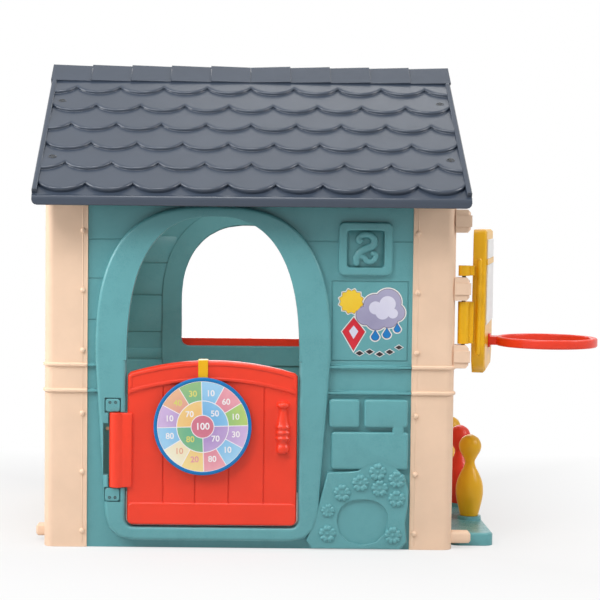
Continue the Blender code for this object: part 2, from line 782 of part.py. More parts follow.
def add_stones(wall):
    """Raised stones to the right of the door."""
    for left, right, low, high in STONES:
        outline = rounded(left, right, low, high, STONE_CORNER, 2)
        join(wall, relief(outline, -PANEL_FACE + BITE, -PANEL_FACE - STONE_PROUD, STONE_EDGE))


def flower(x, z, radius, face):
    """Petals that slope up to a small crown, facing -Y."""
    loops = []
    for size, y in ((radius, face + BITE), (radius * PETAL_CROWN_SHARE, face - FLOWER_PROUD)):
        loop = []
        for petal in range(PETALS):
            for swing, share in PETAL_POINTS:
                turn = pi / 2 + 2 * pi * petal / PETALS + swing
                loop.append((x + size * share * cos(turn), y, z + size * share * sin(turn)))
        loops.append(loop)
    return loft(loops)


def add_garden(wall):
    """The flower relief: a raised patch, five petalled flowers and a plain sunken plaque."""
    face = -PANEL_FACE - GARDEN_PROUD
    patch = [(x, z + GARDEN_LOW) for x, z in GARDEN_OUTLINE]
    join(wall, relief(patch, -PANEL_FACE + BITE, face, GARDEN_EDGE))
    oval = arch(
        CARTOUCHE_X, CARTOUCHE_HALF, CARTOUCHE_HALF, CARTOUCHE_LOW + CARTOUCHE_HEIGHT / 2,
        CARTOUCHE_HEIGHT / 2, CARTOUCHE_POWER, CARTOUCHE_LOW, CARTOUCHE_HEIGHT / 2, CARTOUCHE_STEPS,
    )
    cut(wall, prism(oval, face - OVERRUN, face + CARTOUCHE_DEPTH))
    join(wall, *[flower(x, z, FLOWER_RADIUS * share, face) for x, z, share in FLOWERS])
    crown = face - FLOWER_PROUD
    join(wall, *[
        rod((x, z), FLOWER_BOSS * share, crown - FLOWER_BOSS_PROUD, crown + BITE, FLOWER_BOSS_SIDES, "Y")
        for x, z, share in FLOWERS
    ])


def add_plaque(wall):
    """The house number: a bordered plaque with a raised 2."""
    half = PLAQUE_SIZE / 2
    inner, outer = [
        rounded(PLAQUE_X - half, PLAQUE_X + half, PLAQUE_HEIGHT - half, PLAQUE_HEIGHT + half, corner, 2)
        for half, corner in ((PLAQUE_RECESS / 2, PLAQUE_CORNER / 2), (PLAQUE_SIZE / 2, PLAQUE_CORNER))
    ]
    face = -PANEL_FACE - PLAQUE_PROUD
    join(wall, frame_ring(inner, outer, -PANEL_FACE + BITE, face, PLAQUE_EDGE))
    for spine in (DIGIT_NECK, DIGIT_FOOT):
        join(wall, relief(digit_stroke(spine), -PANEL_FACE + BITE, face + PLAQUE_FLOOR, DIGIT_EDGE))


def digit_stroke(spine):
    """One stroke of the 2, from points across and up from the plaque's centre, each with its half width."""
    points = [Vector((PLAQUE_X + x, PLAQUE_HEIGHT + z)) for x, z, _ in spine]
    left, right = [], []
    for i, here in enumerate(points):
        ahead = points[min(i + 1, len(points) - 1)] - here
        behind = here - points[max(i - 1, 0)]
        along = (ahead.normalized() + behind.normalized()).normalized()
        across = Vector((-along.y, along.x)) * spine[i][2]
        left.append(tuple(here + across))
        right.append(tuple(here - across))
    return left + right[::-1]


def hinge_y():
    """Distance of the door's hinge axis from the centre plane, facing -Y."""
    return -ARCH_FACE + HINGE_AXIS_SET


def cap_limits(upper):
    """X and Z limits of a hinge cap."""
    low = HINGE_HIGH + CAP_GAP if upper else HINGE_LOW - CAP_GAP - CAP_HEIGHT
    return (CAP_LEFT, CAP_LEFT + CAP_WIDTH), (low, low + CAP_HEIGHT)


def add_door_seats(wall):
    """Room for the hinge barrel, the slot beside it and the pockets under the caps."""
    through = (-ARCH_FACE - OVERRUN, -PANEL_BACK + OVERRUN)
    right = ARCH_X - ARCH_INNER_HALF + OVERRUN
    relief_left = HINGE_X - HINGE_BARREL - HINGE_RELIEF
    cut(wall, box((relief_left, right), through, (HINGE_LOW - CAP_GAP, HINGE_HIGH + CAP_GAP)))
    cut(wall, box((HINGE_SLOT_LEFT, relief_left + BITE), through, (HINGE_SLOT_LOW, HINGE_SLOT_HIGH)))
    for upper in (False, True):
        x, z = cap_limits(upper)
        pocket = (x[0] - CAP_GAP, x[1] + CAP_GAP), (z[0] - CAP_GAP, z[1] + CAP_GAP)
        cut(wall, box(pocket[0], (through[0], hinge_y()), pocket[1]))
        hole = (CAP_SCREW_SHANK + CLEARANCE, through[0], -PANEL_BACK - PANEL_SKIN / 2, SCREW_SIDES, "Y")
        cut(wall, *[rod(spot, *hole) for spot in cap_screw_places(upper)])
    long = HINGE_PIN_LENGTH + CAP_GAP
    cut(wall, rod((HINGE_X, hinge_y()), HINGE_PIN + HINGE_PIN_GAP, HINGE_LOW - long, HINGE_HIGH + long, HINGE_SIDES))


def cap_screw_places(upper):
    """Where a cap's two screws go."""
    x, z = cap_limits(upper)
    height = z[1] - CAP_SCREW_END if upper else z[0] + CAP_SCREW_END
    centre = x[0] + CAP_WIDTH / 2 - CAP_SCREW_SIDE / 2
    return [(centre - CAP_SCREW_SIDE, height), (centre + CAP_SCREW_SIDE, height)]


def hinge_cap(name, upper, parent):
    """A cap that traps one of the door's hinge pins."""
    x, z = cap_limits(upper)
    outline = rounded(*x, *z, CAP_SCREW_HEAD)
    cap = piece(name, relief(outline, hinge_y() - CLEARANCE, -ARCH_FACE, BITE), "teal", parent)
    long = HINGE_PIN_LENGTH + CAP_GAP
    cut(cap, rod((HINGE_X, hinge_y()), HINGE_PIN + HINGE_PIN_GAP, HINGE_LOW - long, HINGE_HIGH + long, HINGE_SIDES))
    cut(cap, *[cap_screw(spot, CLEARANCE) for spot in cap_screw_places(upper)])
    smooth(cap)
    return cap


def cap_screw(spot, grow=0.0):
    """A cap screw, or the hole for it when it is grown. It is driven towards +Y."""
    top = -ARCH_FACE - (OVERRUN if grow else 0)
    under = -ARCH_FACE + CAP_SCREW_HEAD_HEIGHT + grow
    end = -ARCH_FACE + CAP_SCREW_LENGTH + (OVERRUN if grow else 0)
    head, shank = CAP_SCREW_HEAD + grow, CAP_SCREW_SHANK + grow
    return turned(spot, [(top, head), (under, head), (under, shank), (end, shank)], SCREW_SIDES, "Y")


def door_outline(gap=0.0):
    """The half door's outline: round feet and a crowned top."""
    half = ARCH_INNER_HALF - DOOR_GAP - gap
    low = THRESHOLD_TOP + DOOR_GAP + gap
    radius = (half ** 2 + DOOR_CROWN ** 2) / (2 * DOOR_CROWN)
    top = DOOR_SIDE_TOP + DOOR_CROWN - gap
    points = rounded(ARCH_X - half, ARCH_X + half, low, DOOR_SIDE_TOP, DOOR_CORNER)
    feet = points[:4] + points[12:]
    reach = half - DOOR_CORNER / 2
    crown = []
    for i in range(DOOR_ARC_STEPS + 1):
        x = reach - 2 * reach * i / DOOR_ARC_STEPS
        crown.append((ARCH_X + x, top - radius + (radius ** 2 - x ** 2) ** 0.5))
    drop = crown[0][1] - DOOR_CORNER / 2
    return feet[:4] + [(ARCH_X + half, drop)] + crown + [(ARCH_X - half, drop)] + feet[4:]


def door_face():
    """Y of the door's field."""
    return -ARCH_FACE + DOOR_FACE_SET


def half_door(parent):
    """The half door with rails, board grooves, handle relief, hinge barrel and stub pins."""
    face = door_face()
    back = face + DOOR_THICKNESS
    door = piece("door", relief(door_outline(), back, face, DOOR_RAIL_EDGE), "red", parent)
    edge = DOOR_RAIL_EDGE / 2
    outline = door_outline(edge)
    half = ARCH_INNER_HALF - DOOR_GAP - edge
    crown = [point for point in outline if point[1] > DOOR_SIDE_TOP - DOOR_CORNER]
    rail = crown + [(x, z - DOOR_TOP_RAIL) for x, z in reversed(crown)]
    join(door, relief(rail, face + BITE, face - DOOR_RAIL_PROUD, DOOR_RAIL_EDGE))
    rail_face = face - DOOR_RAIL_PROUD
    cut(door, prism(inset(rail, DOOR_RAIL_RIM), rail_face - OVERRUN, rail_face + DOOR_RAIL_RECESS))
    low = THRESHOLD_TOP + DOOR_GAP + edge
    foot = rounded(ARCH_X - half, ARCH_X + half, low, THRESHOLD_TOP + DOOR_BOTTOM_RAIL, DOOR_CORNER - edge)
    join(door, relief(foot, face + BITE, face - DOOR_RAIL_PROUD, DOOR_RAIL_EDGE))
    side = DOOR_GROOVE_WIDTH / 2
    top = DOOR_SIDE_TOP + DOOR_CROWN - DOOR_TOP_RAIL - DOOR_CROWN / 2
    span = (THRESHOLD_TOP + DOOR_BOTTOM_RAIL - BITE, top)
    cut(door, *[box((x - side, x + side), (face - OVERRUN / 2, face + DOOR_GROOVE_DEPTH), span) for x in DOOR_GROOVES])
    add_handle(door)
    y = hinge_y()
    join(door, rod((HINGE_X, y), HINGE_BARREL, HINGE_LOW, HINGE_HIGH, HINGE_SIDES))
    plate = (HINGE_X, ARCH_X - half + DOOR_CORNER)
    join(door, box(plate, (y - HINGE_PLATE / 2, y + HINGE_PLATE / 2), (HINGE_LOW + BITE, HINGE_HIGH - BITE)))
    ends = (HINGE_LOW - HINGE_PIN_LENGTH, HINGE_HIGH + HINGE_PIN_LENGTH)
    join(door, rod((HINGE_X, y), HINGE_PIN, *ends, HINGE_SIDES))
    smooth(door)
    return door


def add_handle(door):
    """A turned handle moulded half into the door."""
    loops = []
    for height, share in HANDLE_SHARES:
        loops.append([
            (x, y, HANDLE_BOTTOM + HANDLE_HEIGHT * height)
            for x, y in circle((HANDLE_X, door_face() + BITE), HANDLE_RADIUS * share, HANDLE_SIDES)
        ])
    join(door, loft(loops))


def disc_back():
    """Y of the target disc's back, in front of the strap."""
    return door_face() - DOOR_RAIL_PROUD - STRAP_SKIN - 2 * CLEARANCE


def target(parent):
    """The disc's rim and face, and the strap that hooks over the door."""
    back = disc_back()
    face = back - DART_THICKNESS
    centre = (DART_X, DART_HEIGHT)
    inner = circle(centre, DART_FACE_RADIUS + CLEARANCE, DART_SIDES)
    outer = circle(centre, DART_RADIUS, DART_SIDES)
    rim = piece("dart_rim", frame_ring(inner, outer, back, face, DART_EDGE), "blue", parent)
    disc = prism(circle(centre, DART_FACE_RADIUS, DART_SIDES), back, face + DART_FACE_INSET)
    disc = piece("dart_face", disc, "white", parent)
    front = (back + CLEARANCE, back + CLEARANCE + STRAP_SKIN)
    top = DOOR_SIDE_TOP + DOOR_CROWN + CLEARANCE
    rear = door_face() + DOOR_THICKNESS + CLEARANCE
    hook = [
        (front[0], top - STRAP_FRONT_DROP), (front[1], top - STRAP_FRONT_DROP), (front[1], top), (rear, top),
        (rear, top - STRAP_BACK_DROP), (rear + STRAP_SKIN, top - STRAP_BACK_DROP),
        (rear + STRAP_SKIN, top + STRAP_SKIN), (front[0], top + STRAP_SKIN),
    ]
    strap = prism(hook, DART_X - STRAP_WIDTH / 2, DART_X + STRAP_WIDTH / 2, "X")
    strap = piece("dart_hook", strap, "yellow", parent)
    for made in (rim, disc):
        smooth(made)
    return rim, disc, strap


def board_frame():
    """From the board's own frame (out from the wall, along it, up) to its open place at rest."""
    shift = Matrix.Translation((HALF_WIDTH + BOARD_AXIS, KNUCKLE_Y, 0))
    return shift @ Matrix.Rotation(-BOARD_REST, 4, "Z")


def board_outline():
    """The board's shield outline, along and up."""
    height = BOARD_HIGH - BOARD_LOW
    return [(BOARD_NEAR + BOARD_WIDTH * a, BOARD_LOW + height * b) for a, b in BOARD_SHARES]


def near_edge(height):
    """How far along the board its near edge is at a height."""
    side = sorted((z, y) for y, z in board_outline() if y < BOARD_NEAR + BOARD_WIDTH / 2)
    for (low, before), (high, after) in zip(side, side[1:]):
        if low <= height <= high:
            return before + (after - before) * (height - low) / (high - low)
    return BOARD_NEAR


def near_rib():
    """A round rib up the board's near edge, bent where the edge bends."""
    low, high = [BOARD_LOW + (BOARD_HIGH - BOARD_LOW) * share for share in RIB_SHARES]
    bend = min((y, z) for y, z in board_outline())[1]
    ends = RIB_RADIUS * RIB_END_SHARE
    middle = BOARD_BACK + BOARD_THICKNESS / 2
    steps = (
        (low, ends), (low + RIB_END, RIB_RADIUS), (bend, RIB_RADIUS), (high - RIB_END, RIB_RADIUS), (high, ends),
    )
    return loft([
        [(x, y, z) for x, y in circle((middle, near_edge(z)), radius, HANDLE_SIDES)] for z, radius in steps
    ])


def backboard(parent):
    """The board with its crossbar, near rib, hinge barrel and upper tab."""
    front = BOARD_BACK + BOARD_THICKNESS
    board = piece("backboard", relief(board_outline(), BOARD_BACK, front, BOARD_EDGE, "X"), "yellow", parent)
    low = KNUCKLE_HEIGHTS[0] + KNUCKLE_HEIGHT / 2 + BOARD_GAP
    high = KNUCKLE_HEIGHTS[1] - KNUCKLE_HEIGHT / 2 - BOARD_GAP
    web = (0, BOARD_BACK + BOARD_EDGE)
    far = BOARD_NEAR + BOARD_EDGE + BOARD_BARREL
    for span in ((low, high), (BOARD_TAB_LOW, BOARD_TAB_HIGH)):
        join(board, rod((0, 0), BOARD_BARREL, *span, HINGE_SIDES))
        join(board, box(web, (0, far), (span[0] + BITE, span[1] - BITE)))
    bar = CROSSBAR_WIDTH / 2
    inside = inset(board_outline(), PANEL_BORDER)
    left, right = min(p[0] for p in inside), max(p[0] for p in inside)
    span = (CROSSBAR_MIDDLE - bar, CROSSBAR_MIDDLE + bar)
    join(board, box((front - BITE, front + PANEL_THICK), (left, right), span))
    join(board, near_rib())
    cut(board, rod((0, 0), BOARD_ROD + BOARD_ROD_GAP, low - OVERRUN, BOARD_TAB_HIGH + OVERRUN, ROD_SIDES))
    smooth(board)
    return board


def board_panel(name, low, high, parent):
    """A white plate on the board's face between two heights."""
    front = BOARD_BACK + BOARD_THICKNESS
    sides = inset(board_outline(), PANEL_BORDER)
    foot, head = sides[8], sides[7]
    near = [foot[0] + (head[0] - foot[0]) * (z - foot[1]) / (head[1] - foot[1]) for z in (low, high)]
    middle = BOARD_NEAR + BOARD_WIDTH / 2
    outline = [(near[0], low), (2 * middle - near[0], low), (2 * middle - near[1], high), (near[1], high)]
    face = front + CLEARANCE + PANEL_THICK
    return piece(name, relief(outline, front + CLEARANCE, face, BITE, "X"), "white", parent)


def hoop(parent):
    """The hoop's band with its stem and the flange that meets the board."""
    front = BOARD_BACK + BOARD_THICKNESS + CLEARANCE
    centre = (front + HOOP_OFFSET, BOARD_NEAR + BOARD_WIDTH / 2)
    low, high = HOOP_HEIGHT - HOOP_BAND / 2, HOOP_HEIGHT + HOOP_BAND / 2
    inner = HOOP_RADIUS - HOOP_SKIN
    edge = HOOP_SKIN / 4
    profile = (
        (HOOP_RADIUS - edge, low), (HOOP_RADIUS, low + edge), (HOOP_RADIUS, high - edge), (HOOP_RADIUS - edge, high),
        (inner + edge, high), (inner, high - edge), (inner, low + edge), (inner + edge, low),
    )
    loops = [[(x, y, z) for x, y in circle(centre, r, HOOP_SIDES)] for r, z in profile]
    ring = piece("hoop_ring", loft(loops, ring=True), "red", parent)
    reach = HOOP_OFFSET - inner
    half = HOOP_STEM_WIDTH / 2
    y = centre[1]
    stem = box(
        (front, front + reach - edge), (y - half, y + half),
        (HOOP_HEIGHT - HOOP_STEM_HEIGHT / 2, HOOP_HEIGHT + HOOP_STEM_HEIGHT / 2),
    )
    stem_end = rod(centre, inner + BITE, low - OVERRUN, high + OVERRUN, HOOP_SIDES)
    block = piece("stem", stem, "red", parent)
    cut(block, stem_end)
    trimmed = bmesh.new()
    trimmed.from_mesh(block.data)
    bpy.data.objects.remove(block)
    join(ring, trimmed)
    plate = rounded(y - half, y + half, low - HOOP_FLANGE, high + HOOP_FLANGE, HOOP_FLANGE)
    join(ring, relief(plate, front, front + HOOP_FLANGE, BITE, "X"))
    smooth(ring)
    return ring


def skittle(name, y, colour, parent):
    """A skittle with a socket in its base."""
    x = HALF_WIDTH + SKITTLE_OUT
    profile = [(TRAY_SEAT + CLEARANCE + SKITTLE_HEIGHT * h, SKITTLE_RADIUS * r) for h, r in SKITTLE_SHARES]
    made = piece(name, turned((x, y), profile, SKITTLE_SIDES), colour, parent)
    base = TRAY_SEAT - OVERRUN
    cut(made, rod((x, y), SOCKET_RADIUS, base, TRAY_SEAT + SOCKET_DEPTH, SOCKET_SIDES))
    smooth(made, SKITTLE_CREASE)
    return made


def skittle_places():
    """Y of each skittle."""
    return [SKITTLE_FIRST_Y + SKITTLE_PITCH * i for i in range(3)]


def tray(parent):
    """The skittles' tray: a shell open below, with a boss and a peg under each skittle."""
    near = HALF_WIDTH + CLEARANCE
    outline = rounded(near, near + TRAY_WIDTH, TRAY_FRONT_Y, TRAY_BACK_Y, TRAY_CORNER)
    made = piece("skittle_tray", relief(outline, TRAY_LOW, TRAY_TOP, BOARD_EDGE, "Z"), "teal", parent)
    hollow = prism(inset(outline, TRAY_SKIN), TRAY_LOW - OVERRUN, TRAY_TOP - TRAY_SKIN, "Z")
    cut(made, hollow)
    x = HALF_WIDTH + SKITTLE_OUT
    for y in skittle_places():
        steps = [
            (TRAY_TOP - TRAY_SKIN / 2, TRAY_BOSS + BITE), (TRAY_SEAT, TRAY_BOSS - BITE), (TRAY_SEAT, TRAY_PEG),
            (TRAY_SEAT + TRAY_PEG_HEIGHT, TRAY_PEG - 2 * BITE),
        ]
        join(made, turned((x, y), steps, TRAY_SIDES))
    smooth(made)
    return made


def counter(parent):
    """The ledge outside the back window: a top with a turned-down apron, facing +Y."""
    back = HALF_DEPTH + WINDOW_FRAME_PROUD + CLEARANCE
    front = back + COUNTER_DEPTH
    half = COUNTER_WIDTH / 2
    outline = rounded(-half, half, back - COUNTER_CORNER, front, COUNTER_CORNER, 4)
    low = COUNTER_TOP - COUNTER_APRON
    made = piece("window_counter", relief(outline, low, COUNTER_TOP, BOARD_EDGE / 2, "Z"), "red", parent)
    hollow = prism(inset(outline, COUNTER_SKIN), low - OVERRUN, COUNTER_TOP - COUNTER_SKIN, "Z")
    cut(made, hollow)
    span = (low - OVERRUN, COUNTER_TOP + OVERRUN)
    cut(made, box((-half - OVERRUN, half + OVERRUN), (back - COUNTER_CORNER - OVERRUN, back), span))
    join(made, box((-half + COUNTER_SKIN, half - COUNTER_SKIN), (back, back + COUNTER_SKIN), (low, COUNTER_TOP - BITE)))
    smooth(made)
    return made


def on_slope(x, down, height):
    """A point on the front slope: along the ridge, down from the apex and square out of the surface."""
    y = -down * cos(ROOF_PITCH) - height * sin(ROOF_PITCH)
    return (x, y, ROOF_APEX - down * sin(ROOF_PITCH) + height * cos(ROOF_PITCH))


def scallops(offset):
    """A row's lower edge from left to right: arcs between nodes a tile apart, as (x, sag)."""
    half = TILE_WIDTH / 2
    radius = (half ** 2 + TILE_SAG ** 2) / (2 * TILE_SAG)
    reach = asin(half / radius)
    end = TILE_COUNT * half
    ends = TILE_SAG if offset else 0
    points = [(-end, ends)]
    for tile in range(TILE_COUNT + (1 if offset else 0)):
        centre = -end + tile * TILE_WIDTH + (0 if offset else half)
        for i in range(TILE_ARC_STEPS + 1):
            turn = reach * (2 * i / TILE_ARC_STEPS - 1)
            x = centre + radius * sin(turn)
            if points[-1][0] + CLEARANCE < x < end - CLEARANCE:
                points.append((x, radius * cos(turn) - radius + TILE_SAG))
    return points + [(end, ends)]


def tile_row(index):
    """One row of scalloped tiles: a wedge that rises from under the row above to its own lower edge."""
    nodes = FIRST_TILE_ROW + index * TILE_ROW_PITCH
    top = nodes - TILE_ROW_PITCH - OVERRUN if index else 2 * BITE
    tip = nodes + TILE_SAG
    end = TILE_COUNT * TILE_WIDTH / 2
    shifted = index % 2 == 0
    outline = [(-end, top), (end, top)] + [(x, nodes + sag) for x, sag in reversed(scallops(shifted))]
    buried = [on_slope(x, down, -2 * BITE) for x, down in outline]
    surface = [on_slope(x, down, TILE_STEP * (down - top) / (tip - top)) for x, down in outline]
    return loft([buried, surface])


def ridge_lap():
    """Half the ridge: five stepped ridge tiles, fast to this panel and lapping over the other one."""
    left = -ROOF_LENGTH / 2 - RIDGE_OVERHANG
    width = (-CLEARANCE - left) / RIDGE_TILES
    loops = []
    for tile in range(RIDGE_TILES):
        for x, more in ((left + tile * width, RIDGE_STEP), (left + (tile + 1) * width, 0)):
            loops.append(ridge_section(x, RIDGE_LIFT + RIDGE_SKIN + more))
    return loft(loops)


def ridge_section(x, top):
    """The lap's section: solid on its own slope, a lifted skin on the other."""
    front_low = on_slope(x, RIDGE_LAP, top)
    front_base = on_slope(x, RIDGE_LAP, -BITE)
    near_apex = on_slope(x, 3 * BITE, -BITE)
    back_low = on_slope(x, RIDGE_LAP, top)
    back_inner = on_slope(x, RIDGE_LAP, RIDGE_LIFT)
    return [
        front_base, front_low, (x, 0, ROOF_APEX + top / cos(ROOF_PITCH)), (x, -back_low[1], back_low[2]),
        (x, -back_inner[1], back_inner[2]), (x, 0, ROOF_APEX + RIDGE_LIFT / cos(ROOF_PITCH)), near_apex,
    ]


def rake_bead(side):
    """The raised border down one end of the slope."""
    outer = ROOF_LENGTH / 2
    inner = outer - RAKE_BEAD - BITE
    soft = RAKE_BEAD / 4
    section = [
        (inner, -BITE), (inner, RAKE_BEAD_PROUD - soft), (inner + soft, RAKE_BEAD_PROUD),
        (outer - soft, RAKE_BEAD_PROUD), (outer, RAKE_BEAD_PROUD - soft), (outer, -BITE),
    ]
    start = RIDGE_LAP - BITE if side < 0 else RIDGE_LAP + BITE
    stops = (start, ROOF_SLANT - RAKE_BEAD)
    return loft([[on_slope(side * x, down, height) for x, height in section] for down in stops])


def roof_screw_places():
    """Where roof screws go: along the ridge, down the slope, and on the front (-1) or back (1)."""
    x = ROOF_LENGTH / 2 - ROOF_SCREW_INSET
    return [(side * x, down, face) for face in (-1, 1) for side in (-1, 1) for down in ROOF_SCREW_SLOPES]


def roof_screw(x, down, face, hole=False):
    """A roof screw square to the slope, or the stepped hole for it."""
    end = ROOF_SCREW_SEAT - ROOF_SCREW_LENGTH
    if hole:
        shank = ROOF_SCREW_SHANK + CLEARANCE
        steps = [
            (RAKE_SKIRT, ROOF_SCREW_WELL), (ROOF_SCREW_SEAT - CLEARANCE, ROOF_SCREW_WELL),
            (ROOF_SCREW_SEAT - CLEARANCE, shank), (end - OVERRUN, shank),
        ]
    else:
        head = ROOF_SCREW_SEAT + ROOF_SCREW_HEAD_HEIGHT
        steps = [
            (head, ROOF_SCREW_HEAD - BITE), (head - BITE, ROOF_SCREW_HEAD), (ROOF_SCREW_SEAT, ROOF_SCREW_HEAD),
            (ROOF_SCREW_SEAT, ROOF_SCREW_SHANK), (end, ROOF_SCREW_SHANK),
        ]
    spot = on_slope(x, down, 0)
    lean = Matrix.Rotation(-face * ROOF_PITCH, 4, "X")
    return moved(turned((0, 0), steps, SCREW_SIDES), Matrix.Translation((x, -face * spot[1], spot[2])) @ lean)


def eave_corner(side):
    """What a lower corner of the lip loses to its rounding."""
    end = side * ROOF_LENGTH / 2
    low = ROOF_APEX - ROOF_HALF_DEPTH * SLOPE - EAVE_DROP
    outside = end + side * OVERRUN
    outline = [(outside, low - OVERRUN), (outside, low + EAVE_ROUND)]
    for i in range(EAVE_ROUND_STEPS + 1):
        turn = pi / 2 * i / EAVE_ROUND_STEPS
        outline.append((end - side * EAVE_ROUND * (1 - cos(turn)), low + EAVE_ROUND * (1 - sin(turn))))
    outline.append((end - side * EAVE_ROUND, low - OVERRUN))
    return prism(outline, -ROOF_HALF_DEPTH - OVERRUN, -ROOF_HALF_DEPTH + EAVE_ROUND / SLOPE)


def roof_panel(parent):
    """One roof panel: skin, eave lip, rake skirts and borders, scalloped tiles and its half of the ridge."""
    eave = ROOF_APEX - ROOF_HALF_DEPTH * SLOPE
    skin = ROOF_SKIN / cos(ROOF_PITCH)
    edge = -ROOF_HALF_DEPTH
    apex = ROOF_APEX - CLEARANCE * SLOPE
    inner = edge + EAVE_SKIN
    section = [
        (-CLEARANCE, apex), (edge + EAVE_SKIN / 2, eave + EAVE_SKIN / 2 * SLOPE), (edge, eave - EAVE_SKIN / 4),
        (edge, eave - EAVE_DROP), (inner, eave - EAVE_DROP), (inner, eave + EAVE_SKIN * SLOPE - skin),
        (-CLEARANCE, apex - skin),
    ]
    half = ROOF_LENGTH / 2
    roof = piece("roof_front", prism(section, -half, half, "X"), "slate", parent)
    drop = RAKE_SKIRT / cos(ROOF_PITCH)
    skirt = [
        (-CLEARANCE, apex - skin / 2), (edge + BITE, eave + BITE * SLOPE - skin / 2),
        (edge + BITE, eave + BITE * SLOPE - drop), (-CLEARANCE, apex - drop),
    ]
    join(roof, prism(skirt, -half, -half + RAKE_SKIN, "X"), prism(skirt, half - RAKE_SKIN, half, "X"))
    cut(roof, eave_corner(-1), eave_corner(1))
    for index in range(TILE_ROWS):
        join(roof, tile_row(index))
    join(roof, rake_bead(-1), rake_bead(1))
    join(roof, ridge_lap())
    cut(roof, *[roof_screw(x, down, face, True) for x, down, face in roof_screw_places() if face < 0])
    smooth(roof, ROOF_CREASE)
    return roof


def twin(name, source):
    """The same moulding turned half round the house's centre."""
    made = bpy.data.objects.new(name, source.data)
    made.parent = source.parent
    made.rotation_euler = (0, 0, pi)
    bpy.context.collection.objects.link(made)
    return made


def back_wall(parent):
    """The back panel: siding, belt and an arched window, made facing -Y and turned round."""
    wall = panel_blank("back_wall", parent)
    edge = FLANGE_EDGE - SIDING_END
    half = SIDING_GROOVE / 2
    cut(wall, *[groove(-edge, edge, z - half, z + half) for z in SIDING_HEIGHTS])
    join(wall, *[belt_bar(-edge, edge, z) for z in BELT_HEIGHTS])
    cut(wall, prism(window(-BITE), -HALF_DEPTH - OVERRUN, -PANEL_BACK + OVERRUN))
    join(wall, window_frame(-PANEL_BACK, -HALF_DEPTH - WINDOW_FRAME_PROUD, "Y"))
    smooth(wall)
    wall.rotation_euler = (0, 0, pi)
    return wall


def empty(name, parent, matrix=None):
    """A parent without a shape."""
    made = bpy.data.objects.new(name, None)
    made.parent = parent
    if matrix:
        made.matrix_local = matrix
    bpy.context.collection.objects.link(made)
    return made


def settle(house):
    """Puts the centre of the whole thing's underside on the origin."""
    bpy.context.view_layer.update()
    points = [
        made.matrix_world @ vertex.co
        for made in bpy.data.objects if made.type == "MESH" for vertex in made.data.vertices
    ]
    low = Vector([min(point[i] for point in points) for i in range(3)])
    high = Vector([max(point[i] for point in points) for i in range(3)])
    house.location = (-(low.x + high.x) / 2, -(low.y + high.y) / 2, -low.z)
    return house.location


def build():
    """The whole playhouse."""
    for old in list(bpy.data.objects):
        bpy.data.objects.remove(old)
    house = empty("house", None)
    front_wall(house)
    back_wall(house)
    right = side_wall_mesh(house)
    twin("left_wall", right)
    roof = roof_panel(house)
    twin("roof_back", roof)
    for i, spot in enumerate(roof_screw_places()):
        smooth(piece(f"roof_screw_{i + 1}", roof_screw(*spot), "steel", house))
    for i, (x, z) in enumerate(rivet_places()):
        rivet(f"front_rivet_{i + 1}", x, z, -1, house)
        rivet(f"back_rivet_{i + 1}", x, z, 1, house)
    half_door(house)
    for name, upper in (("hinge_cap_upper", True), ("hinge_cap_lower", False)):
        hinge_cap(name, upper, house)
        for i, spot in enumerate(cap_screw_places(upper)):
            smooth(piece(f"{name}_screw_{i + 1}", cap_screw(spot), "steel", house))
    target(house)
    pivot = empty("board_pivot", house, board_frame())
    backboard(pivot)
    bar = CROSSBAR_WIDTH / 2 + CLEARANCE
    board_panel("backboard_panel_lower", PANEL_LOW, CROSSBAR_MIDDLE - bar, pivot)
    board_panel("backboard_panel_upper", CROSSBAR_MIDDLE + bar, PANEL_HIGH, pivot)
    hoop(pivot)
    low = KNUCKLE_HEIGHTS[0] - KNUCKLE_HEIGHT / 2
    axis = (HALF_WIDTH + BOARD_AXIS, KNUCKLE_Y)
    smooth(piece("board_hinge_rod", rod(axis, BOARD_ROD, low, BOARD_TAB_HIGH, ROD_SIDES), "steel", house))
    tray(house)
    for i, (y, colour) in enumerate(zip(skittle_places(), ("yellow", "red", "yellow"))):
        skittle(f"skittle_{i + 1}", y, colour, house)
    counter(house)
    centre = settle(house)
    print("house centre in the part's frame", tuple(round(value, 5) for value in centre))


build()
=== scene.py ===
# %% [markdown]
# A plastic activity house for small children. Rigid moulded panels clip and rivet together: beige
# side walls, teal front and back panels, a tiled roof in two halves, a red half door, and games
# hung outside. The imported CAD model is the frame here, and each piece below is dressed around it.
# The first cell loads that frame, and reads the box of any of its nodes.

# %% Load the frame, and read a node's box
import json
import math

import bmesh
import bpy
from mathutils import Matrix, Vector

